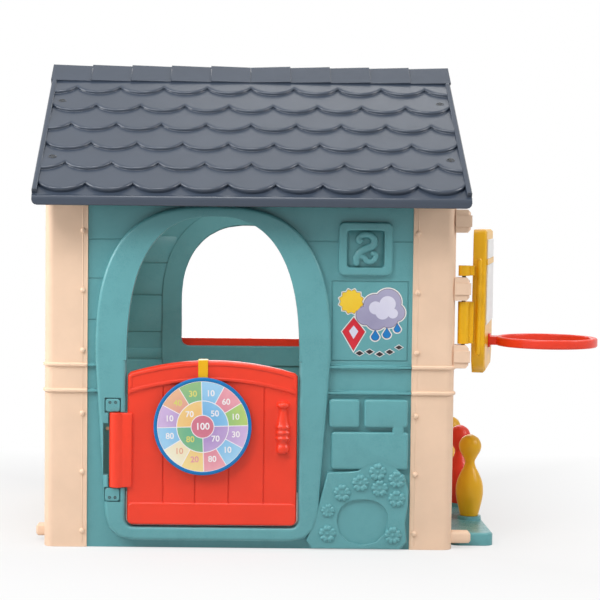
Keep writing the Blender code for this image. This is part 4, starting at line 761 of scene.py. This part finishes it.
# %% Target
SECTORS = (
    "sky", "rose", "leaf", "violet", "sky", "rose", "gold", "cream", "sky", "violet", "apricot",
    "jade",
)
QUARTERS = ("sky", "violet", "jade", "gold")
BULLSEYE = ("rose",)
SECTOR_SCORES = (
    ("white", {0: "10", 1: "60", 2: "10", 3: "30", 4: "10", 5: "80", 8: "80", 9: "10"}),
    ("rose", {6: "20"}), ("apricot", {7: "10"}), ("lemon", {10: "40", 11: "30"}),
)
QUARTER_SCORES = {"white": {0: "50", 1: "70", 3: "70"}, "lemon": {2: "80"}}
DISH = (
    (0, 0), (0.1245, 0), (0.1260, 0.0007), (0.1265, 0.0020), (0.1265, 0.0096), (0.1258, 0.0112),
    (0.1242, 0.0120), (0.1198, 0.0120), (0.1184, 0.0117), (0.1176, 0.0108), (0, 0.0105),
)
CARD_BACK, PRINT_LEVEL = 0.0100, 0.0110
LINE = 0.0010
ASKEW = math.radians(2)
SECTOR_DIGITS, QUARTER_DIGITS = 0.088, 0.046
DIGIT_SIZE, BULL_DIGIT_SIZE = 0.0215, 0.0245


def digits(text, size, place, level):
    """Plain flat digits, lying, centred on a place."""
    curve = bpy.data.curves.new("digits", "FONT")
    curve.body, curve.size, curve.offset, curve.extrude = text, size, size * 0.02, 0.00015
    curve.align_x, curve.align_y = "CENTER", "CENTER"
    holder = bpy.data.objects.new("digits", curve)
    made = bmesh.new()
    made.from_mesh(bpy.data.meshes.new_from_object(holder))
    bpy.data.objects.remove(holder)
    bmesh.ops.translate(made, vec=(*place, level), verts=made.verts)
    return made


def clock(angle, reach):
    """A place at a clockwise angle from twelve o'clock, in turns."""
    return (reach * math.sin(math.tau * angle), reach * math.cos(math.tau * angle))


hung = on_front(*TARGET, TARGET_BACK) @ Matrix.Rotation(ASKEW, 4, "Z")
keep("target_dish", moved(turned(DISH, 96), hung), "target", "blue_plastic", "dart_rim")

upper = [(radius, PRINT_LEVEL) for radius in (PRINT, INNER_RING, BULL, 0)]
card = turned([(0, CARD_BACK), (PRINT, CARD_BACK)] + upper, 144)
rings = (SECTORS, QUARTERS, BULLSEYE)
regions = {}
for face in card.faces:
    if face.normal.z > 0.5:
        middle = face.calc_center_median()
        turn = math.atan2(middle.x, middle.y) / math.tau % 1
        reach = middle.xy.length
        ring = (reach < INNER_RING) + (reach < BULL)
        regions.setdefault((ring, int(turn * len(rings[ring]))), []).append(face)
order = list(inks)
for (ring, index), faces in regions.items():
    bmesh.ops.inset_region(card, faces=faces, thickness=LINE, use_even_offset=True)
    for face in faces:
        face.material_index = order.index(rings[ring][index])
prints = [inks[name] for name in order]
keep("target_card", moved(card, hung), "target", "target_print", "dart_face", material=prints)

for colour, scores in SECTOR_SCORES:
    row = bmesh.new()
    inner_scores = QUARTER_SCORES.get(colour, {})
    for marks, ring, reach in (
        (scores, SECTORS, SECTOR_DIGITS), (inner_scores, QUARTERS, QUARTER_DIGITS)
    ):
        for index, score in marks.items():
            place = clock((index + 0.5) / len(ring), reach)
            pour(row, digits(score, DIGIT_SIZE, place, PRINT_LEVEL))
    if colour == "white":
        pour(row, digits("100", BULL_DIGIT_SIZE, (0, 0), PRINT_LEVEL))
    moved(row, hung)
    keep("target_digits_" + colour, row, "target", "target_print", material=inks[colour])
print("target:", len(regions), "printed regions")

# %% [markdown]
# Round small parts are turned as on a lathe: rivets with their clinched tails, and skittles. A
# skittle's outline is a dozen points. A smooth line through them, worked out between each two from
# their neighbours, takes out the corners.

# %% Rivets
RIVET_X, RIVET_FACE = 0.4325, -0.4303
RIVET_HEIGHTS = (0.042, 0.197, 0.350, 0.514, 0.670, 0.824)
RIVET_SHANK = [
    (0, -0.0114), (0.0055, -0.0114), (0.0055, -0.0094), (0.003, -0.0094), (0.003, 0), (0.0068, 0),
]
RIVET_HEAD, RIVET_DOME, RIVET_BRIM = 0.00725, 0.0060, 0.0005
FACINGS = {"front": Matrix(), "back": HALF_TURN}


def dome(radius, height, low=0.0, steps=6):
    """The outline of a dome from its rim to its crown."""
    turns = [math.radians(90) * step / steps for step in range(steps)]
    rise = [(radius * math.cos(turn), low + height * math.sin(turn)) for turn in turns]
    return rise + [(0, low + height)]


for side, facing in FACINGS.items():
    row = bmesh.new()
    for x in (-RIVET_X, RIVET_X):
        for z in RIVET_HEIGHTS:
            head = dome(RIVET_HEAD, RIVET_DOME - RIVET_BRIM, RIVET_BRIM)
            pour(row, turned(RIVET_SHANK + head, 20), facing @ on_front(x, z, RIVET_FACE))
    stands_for = [node for node in rivets if node.startswith(side)]
    keep(side + "_rivets", row, "house", "beige_plastic", *stands_for)
print("rivets:", len(rivets))

# %% Skittles
SKITTLE_X, SKITTLE_YS, SKITTLE_FOOT = 0.615, (-0.165, 0.035, 0.235), 0.0443
SKITTLE_HEIGHT, SKITTLE_RADIUS = 0.224, 0.0375
SKITTLE_SHARES = (
    (0.000, 0.66), (0.20, 0.94), (0.32, 1.00), (0.42, 0.92), (0.52, 0.68), (0.60, 0.44),
    (0.67, 0.36), (0.74, 0.56), (0.81, 0.77), (0.88, 0.81), (0.95, 0.62), (0.985, 0.34),
)
SOCKET = [(0, 0.016), (0.013, 0.016), (0.013, 0.0), (0.0225, 0.0)]
SKITTLE_CROWN = [(0.006, 0.2238), (0, SKITTLE_HEIGHT)]


def flowing(points, steps=4):
    """Points on a smooth line through the given ones."""
    line = []
    ends = [points[0], *points, points[-1]]
    for four in zip(ends, ends[1:], ends[2:], ends[3:]):
        before, here, there, after = map(Vector, four)
        for step in range(steps):
            t = step / steps
            curve = 2 * here + t * (there - before)
            curve += t ** 2 * (2 * before - 5 * here + 4 * there - after)
            curve += t ** 3 * (3 * here - before - 3 * there + after)
            line.append(tuple(curve / 2))
    return line + [tuple(points[-1])]


side_line = flowing([(r * SKITTLE_RADIUS, h * SKITTLE_HEIGHT) for h, r in SKITTLE_SHARES])
for node, y in zip(skittles, SKITTLE_YS):
    pin = turned(SOCKET + side_line + SKITTLE_CROWN, 48)
    moved(pin, Matrix.Translation(at(SKITTLE_X, y, SKITTLE_FOOT)))
    keep(node + "_pin", pin, body_of_node[node], slot_of_node[node], node)
print("skittle outline:", len(side_line), "points")

# %% [markdown]
# The hoop's CAD band has 24 sides. A turned ring with a rounded section lies over it, a hair
# larger, so the stem and its flange stay as they are.

# %% Hoop band
BOARD_FRAME = Matrix.Translation(at(0.556, -0.400, 0)) @ Matrix.Rotation(math.radians(-12), 4, "Z")
HOOP_CENTRE = (0.2103, 0.205)
HOOP_RADII, HOOP_LEVELS, HOOP_ROUND = (0.1216, 0.1348), (0.5220, 0.5460), 0.0042


def rounded_section(radii, levels, corner, steps=4):
    """A rounded rectangle as (radius, height) pairs."""
    points = []
    corners = ((1, 1, 0), (0, 1, 90), (0, 0, 180), (1, 0, 270))
    for right, top, start in corners:
        x, y = radii[right] + corner * (1 - 2 * right), levels[top] + corner * (1 - 2 * top)
        for step in range(steps + 1):
            turn = math.radians(start + 90 * step / steps)
            points.append((x + corner * math.cos(turn), y + corner * math.sin(turn)))
    return points


band = turned(rounded_section(HOOP_RADII, HOOP_LEVELS, HOOP_ROUND), 96, closed=True)
moved(band, BOARD_FRAME @ Matrix.Translation((*HOOP_CENTRE, 0)))
hoop_band = keep("hoop_band", band, "hoop_board", "red_plastic")
print("hoop band:", len(hoop_band.data.polygons), "faces")

# %% [markdown]
# The door's handle is a turned bar half sunk into its field, and its hinge leaf laps over the left
# edge. The hinge caps are rounded plates, a little smaller than their CAD nodes, so that a dark
# line runs round them in their pockets.

# %% Handle, hinge leaf and caps
HANDLE = (0.088, 0.252)
HANDLE_HEIGHT, HANDLE_RADIUS = 0.135, 0.0199
HANDLE_SINK = 0.001
HANDLE_SHARES = (
    (0.00, 0.62), (0.03, 0.86), (0.12, 0.86), (0.18, 0.68), (0.24, 0.80), (0.29, 1.00),
    (0.34, 0.84), (0.40, 1.00), (0.45, 0.84), (0.51, 1.00), (0.57, 0.82), (0.80, 0.50),
    (0.86, 0.54), (0.90, 0.84), (0.96, 0.80), (1.00, 0.45),
)
LEAF_X, LEAF_Z, LEAF_DEPTHS = (-0.345, -0.302), (0.1605, 0.3535), (-0.4360, -0.4530)
LEAF_CORNER, LEAF_RIM = 0.0036, 0.0030
BARREL_AXIS, BARREL_RADIUS, BARREL_Z = (-0.342, -0.4367), 0.0204, (0.1598, 0.3542)
BARREL_RIM = 0.001
CAP_X, CAP_SIZE, CAP_FACE, CAP_DEPTH = -0.35275, (0.0375, 0.0340), ARCH_FACE, 0.0085
CAP_CORNER, CAP_RIM = 0.0075, 0.0018
CAP_HEIGHTS = {"hinge_cap_lower": 0.1408, "hinge_cap_upper": 0.3732}

handle_line = flowing([(HANDLE_RADIUS * r, HANDLE_HEIGHT * h) for h, r in HANDLE_SHARES], 3)
handle = turned([(0, 0)] + handle_line + [(0, HANDLE_HEIGHT)], 32)
moved(handle, Matrix.Translation(at(HANDLE[0], DOOR_FIELD + HANDLE_SINK, HANDLE[1])))
keep("handle_bar", handle, "door_leaf", "red_plastic")

leaf = bmesh.new()
leaf_depth = LEAF_DEPTHS[0] - LEAF_DEPTHS[1]
slab(leaf, LEAF_X, LEAF_Z, LEAF_DEPTHS[0], leaf_depth, LEAF_CORNER, LEAF_RIM)
inner, (foot, head) = BARREL_RADIUS - BARREL_RIM, BARREL_Z
side = [(BARREL_RADIUS, foot + BARREL_RIM), (BARREL_RADIUS, head - BARREL_RIM)]
barrel = turned([(0, foot), (inner, foot), *side, (inner, head), (0, head)], 40)
pour(leaf, barrel, Matrix.Translation(at(*BARREL_AXIS, 0)))
keep("hinge_leaf", leaf, "door_leaf", "red_plastic")

for node, z in CAP_HEIGHTS.items():
    cap = soft_block(*CAP_SIZE, CAP_DEPTH, CAP_CORNER, CAP_RIM)
    moved(cap, on_front(CAP_X, z, CAP_FACE + CAP_DEPTH))
    keep(node + "_plate", cap, "house", "teal_plastic", node)
print("door fittings: handle, leaf and", len(CAP_HEIGHTS), "caps")

# %% [markdown]
# Every screw has a low round head with a cross slot. A Boolean modifier could cut the slot, but at
# this size it is enough to press down those points of the turned head that lie on the cross. A roof
# screw sits in a socket, flattened to an oval, with a raised collar. The socket's shape is real,
# and its dark steel colour is painted shade for the notch round the screw.

# %% Screws
SLOT_WIDTH, SLOT_DEPTH, SLOT_REACH = 0.0012, 0.0012, 0.75
CAP_SCREW = (0.00378, 0.0008)
CAP_SCREW_X, CAP_SCREW_HEIGHTS = 0.0072, (0.1333, 0.3807)
ROOF_SCREW = (0.0050, 0.0012, 0.006)
ROOF_SCREW_X, ROOF_SCREW_DOWNS = 0.517, (0.185, 0.470)
ROOF_SOCKET = (
    (0.0078, -0.004), (0.0105, -0.004), (0.0105, 0.0004), (0.0098, 0.0010), (0.0085, 0.0010),
    (0.0078, 0.0004),
)
OVAL = Matrix.Diagonal((1.0, 0.82, 1.0, 1.0))
TILE_LEVEL = 0.0089


def screw(radius, height, buried=0.004):
    """A lying screw head with a cross slot, its underside sunk below the face."""
    brim = height * 0.5
    made = turned([(0, -buried), (radius, -buried)] + dome(radius, brim, brim), 24)
    for vert in made.verts:
        on_cross = min(abs(vert.co.x), abs(vert.co.y)) < SLOT_WIDTH / 2
        if on_cross and vert.co.z > brim and vert.co.xy.length < radius * SLOT_REACH:
            vert.co.z -= SLOT_DEPTH
    return made


def tilted(x, down, height):
    """The matrix that lays a shape on the front slope."""
    return Matrix.Translation(on_slope(x, down, height)) @ Matrix.Rotation(ROOF_PITCH, 4, "X")


def screws_of(start):
    """The CAD's screws whose names start with a word."""
    return [node for node in screws if node.startswith(start)]


heads = bmesh.new()
for z in CAP_SCREW_HEIGHTS:
    for x in (-CAP_SCREW_X, CAP_SCREW_X):
        pour(heads, screw(*CAP_SCREW), on_front(CAP_X + x, z, CAP_FACE))
keep("cap_screw_heads", heads, "house", "steel", *screws_of("hinge"))

heads, painted_shade_sockets = bmesh.new(), bmesh.new()
for facing in FACINGS.values():
    for x in (-ROOF_SCREW_X, ROOF_SCREW_X):
        for down in ROOF_SCREW_DOWNS:
            spot = facing @ tilted(x, down, TILE_LEVEL)
            pour(heads, screw(*ROOF_SCREW), spot)
            # The socket ring is coloured dark steel: painted shade for the notch round each roof
            # screw.
            pour(painted_shade_sockets, turned(ROOF_SOCKET, 32, closed=True), spot @ OVAL)
keep("roof_screw_heads", heads, "house", "steel", *screws_of("roof"))
keep("roof_screw_sockets_painted_dark", painted_shade_sockets, "house", "steel")
print("screws:", len(screws))

# %% [markdown]
# The sticker beside the door shows a plain motif of its own: a cloud, a sun, raindrops and a kite.
# A sticker is cut along its outline with a white margin, so every shape is laid three times: grown
# and white, a little grown and dark, and in its colour, a hair higher each time. Paper-thin prisms
# need no picture, and keep their edges sharp in a close view.

# %% Sticker
STICKER = (0.3145, 0.5925)
LAYER = 0.00020
MARGIN, OUTLINE = 0.0042, 0.0011
STICKER_INKS = {
    "paper": ((226, 224, 222), (236, 234, 232)), "line": ((84, 62, 74), (96, 74, 84)),
    "cloud": ((150, 146, 176), (172, 168, 196)), "mist": ((206, 204, 226), (222, 220, 236)),
    "sun": ((232, 180, 20), (246, 206, 60)), "rain": ((12, 108, 178), (30, 128, 196)),
    "kite": ((196, 24, 44), (214, 44, 58)), "bow": ((28, 24, 26), (44, 38, 40)),
}
CLOUD = (
    (0.008, 0.044, 0.029), (0.042, 0.053, 0.034), (0.064, 0.026, 0.022), (-0.016, 0.018, 0.024),
    (0.012, 0.008, 0.027), (0.044, 0.012, 0.025),
)
MIST = ((0.010, 0.038, 0.017), (0.041, 0.048, 0.021), (0.028, 0.026, 0.018), (0.055, 0.024, 0.013))
RAIN = ((0.010, -0.036, 0.0100), (0.040, -0.030, 0.0100), (0.067, -0.016, 0.0085))
SUN, KITE = (-0.053, 0.054, 0.032), (-0.046, -0.024, 0.036)
BOWS = (
    (-0.030, -0.080, 0.0095), (-0.004, -0.076, 0.0095), (0.022, -0.082, 0.0095),
    (0.048, -0.076, 0.0095), (0.072, -0.064, 0.0085),
)
STEP_UP = 0.00002
SUN_RAYS, RAY_DEPTH = 12, 0.16
DROP_TAPER, DROP_STRETCH = 0.9, 1.7
KITE_MARGIN, KITE_WIDTH, KITE_TAIL = 1.25, 0.8, 1.35
BOW_HEIGHT = 0.62
PANE_LIFT, PANE_SHARE = 0.001, 0.42


def cut_shape(kind, x, y, radius, grow, level):
    """A lying paper-thin shape: a disc, sun, drop, kite or bow, grown by a margin."""
    sides = {"kite": 4, "bow": 4}.get(kind, 48)
    made = bmesh.new()
    size = radius + grow * (KITE_MARGIN if kind == "kite" else 1)
    bmesh.ops.create_cone(
        made, cap_ends=True, segments=sides, radius1=size, radius2=size, depth=level
    )
    for vert in made.verts:
        turn = math.atan2(vert.co.y, vert.co.x)
        if kind == "sun":
            vert.co.xy *= 1 - RAY_DEPTH * (0.5 + 0.5 * math.cos(SUN_RAYS * turn))
        elif kind == "drop" and vert.co.y > 0:
            vert.co.x *= 1 - DROP_TAPER * vert.co.y / size
            vert.co.y *= DROP_STRETCH
        elif kind == "kite":
            vert.co.y *= 1.0 if vert.co.y > 0 else KITE_TAIL
            vert.co.x *= KITE_WIDTH
        elif kind == "bow":
            vert.co.y *= BOW_HEIGHT
    bmesh.ops.translate(made, vec=(x, y, level / 2), verts=made.verts)
    return made


sticker_inks = {
    name: ink("sticker_" + name, *pair, STICKER, (0.0, 0.09))
    for name, pair in STICKER_INKS.items()
}
drawing = [("sun", SUN, "sun")]
drawing += [("disc", puff, "cloud") for puff in CLOUD] + [("drop", drop, "rain") for drop in RAIN]
drawing += [("kite", KITE, "kite")] + [("bow", bow, "bow") for bow in BOWS]
sheets = {name: bmesh.new() for name in sticker_inks}
for index, (kind, shape, colour) in enumerate(drawing):
    high = index * STEP_UP
    pour(sheets["paper"], cut_shape(kind, *shape, MARGIN, LAYER + high))
    pour(sheets["line"], cut_shape(kind, *shape, OUTLINE, 3 * LAYER + high))
    pour(sheets[colour], cut_shape(kind, *shape, 0, 5 * LAYER + high))
for index, shape in enumerate(MIST):
    pour(sheets["mist"], cut_shape("disc", *shape, 0, 7 * LAYER + index * STEP_UP))
pane = (KITE[0], KITE[1] + PANE_LIFT, KITE[2] * PANE_SHARE)
pour(sheets["mist"], cut_shape("kite", *pane, 0, 7 * LAYER))
for name, sheet in sheets.items():
    moved(sheet, on_front(*STICKER, PANEL_FACE))
    keep("sticker_" + name, sheet, "house", "white_plastic", material=sticker_inks[name])
print("sticker:", len(drawing) + len(MIST), "shapes in", len(sheets), "inks")

# %% [markdown]
# The CAD cuts each arched window with few facets. The back one shows through the doorway, so a thin
# smooth lining is set into its edge. Its outline is a circle whose points are moved on to the arch.
# The ring between an outer and an inner outline is a bridge of faces, extruded to the wall's depth.

# %% Window lining
WINDOW_HALF, WINDOW_POWER = 0.205, 2.3
WINDOW_SILL, WINDOW_SPRING, WINDOW_TOP = 0.457, 0.600, 0.837
WINDOW_CORNER = 0.02
LINING_IN, LINING_OUT = 0.0022, 0.0030
LINING_DEPTHS = (0.4195, 0.4370)
LINING_THICKNESS = LINING_DEPTHS[1] - LINING_DEPTHS[0]


def on_arch(turn, half, rise, power):
    """The point of a superellipse at an angle."""
    x = math.copysign(abs(math.cos(turn)) ** (2 / power), math.cos(turn)) * half
    return (x, abs(math.sin(turn)) ** (2 / power) * rise)


def window_outline(mesh, shrink):
    """A lying loop of edges on the window's arch, drawn in by a distance."""
    made = bmesh.ops.create_circle(mesh, segments=128, radius=1)["verts"]
    half, rise = WINDOW_HALF - shrink, WINDOW_TOP - WINDOW_SPRING - shrink
    low = WINDOW_SILL - WINDOW_SPRING + shrink
    for vert in made:
        turn = math.atan2(vert.co.y, vert.co.x)
        if turn >= 0:
            vert.co.xy = on_arch(turn, half, rise, WINDOW_POWER)
        else:
            share = 1 / max(abs(vert.co.x), abs(vert.co.y))
            x, y = vert.co.x * share * half, vert.co.y * share * abs(low)
            over = (abs(x) - (half - WINDOW_CORNER), abs(y) - (abs(low) - WINDOW_CORNER))
            if min(over) > 0:
                pull = WINDOW_CORNER / max(Vector(over).length, 1e-9)
                x = math.copysign(half - WINDOW_CORNER + over[0] * pull, x)
                y = -(abs(low) - WINDOW_CORNER + over[1] * pull)
            vert.co.xy = (x, y)
    return list({edge for vert in made for edge in vert.link_edges})


def window_ring(outside, inside, depth):
    """A ring round the window, lying, its underside at the floor."""
    made = bmesh.new()
    loops = window_outline(made, inside) + window_outline(made, outside)
    return raised(made, bmesh.ops.bridge_loops(made, edges=loops)["faces"], depth)


lining = window_ring(-LINING_OUT, LINING_IN, LINING_THICKNESS)
moved(lining, HALF_TURN @ on_front(0, WINDOW_SPRING, -LINING_DEPTHS[0]))
window = keep("back_window_lining", lining, "house", "teal_plastic")
print("window lining:", len(window.data.polygons), "faces")

# %% [markdown]
# The doorway's arch is the front's largest form, and the CAD cuts it with few facets. A thin smooth
# lining inside the opening and a smooth face above the door's height lie over them. The face's
# outer rim is as soft as the chamfer of the arch's legs below it, and at its feet the face sinks
# slowly into the legs, so that no seam shows.

# %% Doorway arch
ARCH_X, ARCH_SPRING = -0.095, 0.490
ARCH_OUTER = (0.304, 0.400, 2.8)
ARCH_INNER = (0.224, 0.374, 2.65)
ARCH_LINED = (0.2230, 0.3728, 2.52)
ARCH_ROUND, ARCH_STEPS = 0.0095, 96
ARCH_PROUD = PANEL_FACE - ARCH_FACE
LINING_GROWTH, LINING_HEIGHT, LINING_BACK = 0.0030, 0.0262, 0.0045
RIM_REACH = 0.02
DIVE, DIVE_HEIGHT = 0.0012, 0.060


def arch_strip(inside, outside, depth):
    """A strip between two lying arches, from the left foot to the right, extruded upwards."""
    made = bmesh.new()
    loops = []
    for arch in (inside, outside):
        turns = [math.pi * (1 - step / ARCH_STEPS) for step in range(ARCH_STEPS + 1)]
        corners = [made.verts.new((*on_arch(turn, *arch), 0.0)) for turn in turns]
        loops += [made.edges.new(pair) for pair in zip(corners, corners[1:])]
    return raised(made, bmesh.ops.bridge_loops(made, edges=loops)["faces"], depth)


def grown(arch, by):
    """An arch made larger by a distance."""
    return (arch[0] + by, arch[1] + by, arch[2])


def is_outside(vert):
    """Whether a point lies near the arch's outer line."""
    half, rise = ARCH_OUTER[0] - RIM_REACH, ARCH_OUTER[1] - RIM_REACH
    return (vert.co.x / half) ** 2 + (vert.co.y / rise) ** 2 > 1


arch_lining = arch_strip(ARCH_LINED, grown(ARCH_INNER, LINING_GROWTH), LINING_HEIGHT)
moved(arch_lining, on_front(ARCH_X, ARCH_SPRING, PANEL_FACE + LINING_BACK))
keep("arch_lining", arch_lining, "house", "teal_plastic")

arch_face = arch_strip(ARCH_LINED, grown(ARCH_OUTER, HAIR), ARCH_PROUD + HAIR)
outer_rim = [
    edge for edge in arch_face.edges
    if min(vert.co.z for vert in edge.verts) > ARCH_PROUD
    and min(face.normal.z for face in edge.link_faces) < 0.5
    and all(is_outside(vert) for vert in edge.verts)
]
rounded_edges(arch_face, outer_rim, ARCH_ROUND, 5)
for vert in arch_face.verts:
    if vert.co.z > ARCH_PROUD / 2:
        vert.co.z -= DIVE * max(0.0, 1 - vert.co.y / DIVE_HEIGHT)
moved(arch_face, on_front(ARCH_X, ARCH_SPRING, PANEL_FACE))
keep("arch_face", arch_face, "house", "teal_plastic")
print("arch: lining and face,", len(outer_rim), "rim edges rounded")

# %% [markdown]
# The back wall shows its inner side through the doorway: siding and belts as outside, and a broad
# raised frame round the window. Boards with thin gaps between them and a ring give that. Like the
# belts and seam beads further down, they are sunk 1 mm into what carries them.

# %% Inner side of the back wall
SUNK = 0.001
INNER_FACE = 0.4212
INNER_FRAME, INNER_PROUD = 0.058, 0.007
BOARD_PROUD, BOARD_CORNER, BOARD_RIM = 0.0022, 0.002, 0.0014
INNER_BOARDS = (
    ((0.5020, 0.6130), (0.6175, 0.7130), (0.7175, 0.8000)),
    ((0.3100, 0.4130), (0.4190, 0.4500)),
)
BOARD_SPANS = (((-0.4160, -0.2200), (0.2200, 0.4160)), ((-0.4160, 0.4160),))
inner = bmesh.new()
for rows, spans in zip(INNER_BOARDS, BOARD_SPANS):
    for row in rows:
        for span in spans:
            form = (BOARD_PROUD + SUNK, BOARD_CORNER, BOARD_RIM, 2)
            slab(inner, span, row, INNER_FACE + SUNK, *form)
keep("inner_boards", inner, "house", "teal_plastic")

inner_frame = window_ring(-INNER_FRAME, 0.0, INNER_PROUD + SUNK)
moved(inner_frame, on_front(0, WINDOW_SPRING, INNER_FACE + SUNK))
keep("inner_window_frame", inner_frame, "house", "teal_plastic")
print("inner side: boards and frame")

# %% [markdown]
# Two rounded belts run round the whole house. On the front and back panels they are bars with a
# round section, a hair larger than the CAD's own, so that each carries a soft line of light. They
# stop at the arch and at the window's frame.

# %% Belts
BELT_HEIGHTS, BELT_HEIGHT, BELT_PROUD = (0.409, 0.476), 0.0114, 0.0053
BELT_CORNER, BELT_RIM = 0.0004, 0.0048
BELT_SPANS = {
    "front": ((-0.4195, -0.3955), (0.2055, 0.4195)),
    "back": ((-0.4195, -0.2405), (0.2405, 0.4195)),
}
belts = bmesh.new()
for side, spans in BELT_SPANS.items():
    for span in spans:
        for z in BELT_HEIGHTS:
            limits = span, (z - BELT_HEIGHT / 2, z + BELT_HEIGHT / 2)
            form = (BELT_PROUD + SUNK, BELT_CORNER, BELT_RIM, 5)
            slab(belts, *limits, PANEL_FACE + SUNK, *form, turn=FACINGS[side])
keep("panel_belts", belts, "house", "teal_plastic")
print("belts:", len(BELT_HEIGHTS))

# %% [markdown]
# Down each flange runs a thin bead through the rivets, broken by the belts, and the flange's own
# edge is a small round that catches the light beside the dark joint with the panel. They are soft
# blocks a few millimetres wide: a bump in the material would not show in the outline.

# %% Seam beads and flange edges
SEAMS = ((0.4330, 0.0030, 0.0007), (0.4214, 0.0026, 0.0009))
SEAM_SPANS = ((0.010, 0.4030), (0.4155, 0.4700), (0.4825, 0.8900))
CORNER_SHARE, RIM_SHARE = 0.45, 0.9
seams = bmesh.new()
for facing in FACINGS.values():
    for x, width, proud in SEAMS:
        for side in (-x, x):
            for span in SEAM_SPANS:
                limits = (side - width / 2, side + width / 2), span
                form = (proud + SUNK, width * CORNER_SHARE, proud * RIM_SHARE, 3)
                slab(seams, *limits, FLANGE_FACE + SUNK, *form, turn=facing)
keep("flange_seams", seams, "house", "beige_plastic")
print("seam spans:", len(SEAM_SPANS))

# %% [markdown]
# Each ridge tile laps over its neighbour, and its raised end shows as a thin bright line in the
# photograph. A soft bead lies over each end, from just below the ridge to the tile's lower edge.

# %% Ridge tile ends
RIDGE_TILES, RIDGE_END = 5, 0.558
RIDGE_PITCH = (RIDGE_END - HAIR) / RIDGE_TILES
RIDGE_LEVEL = 0.0127
RIDGE_SPAN = (0.010, 0.0745)
RIDGE_BEAD = (0.0034, RIDGE_SPAN[1] - RIDGE_SPAN[0], 0.0020, 0.0012, 0.0012, 3)
ends = bmesh.new()
for facing in FACINGS.values():
    for tile in range(1, RIDGE_TILES):
        x = -RIDGE_END + tile * RIDGE_PITCH
        spot = facing @ tilted(x, sum(RIDGE_SPAN) / 2, RIDGE_LEVEL)
        pour(ends, soft_block(*RIDGE_BEAD), spot)
keep("ridge_tile_ends", ends, "house", "slate_plastic")
print("ridge tile ends:", 2 * (RIDGE_TILES - 1))
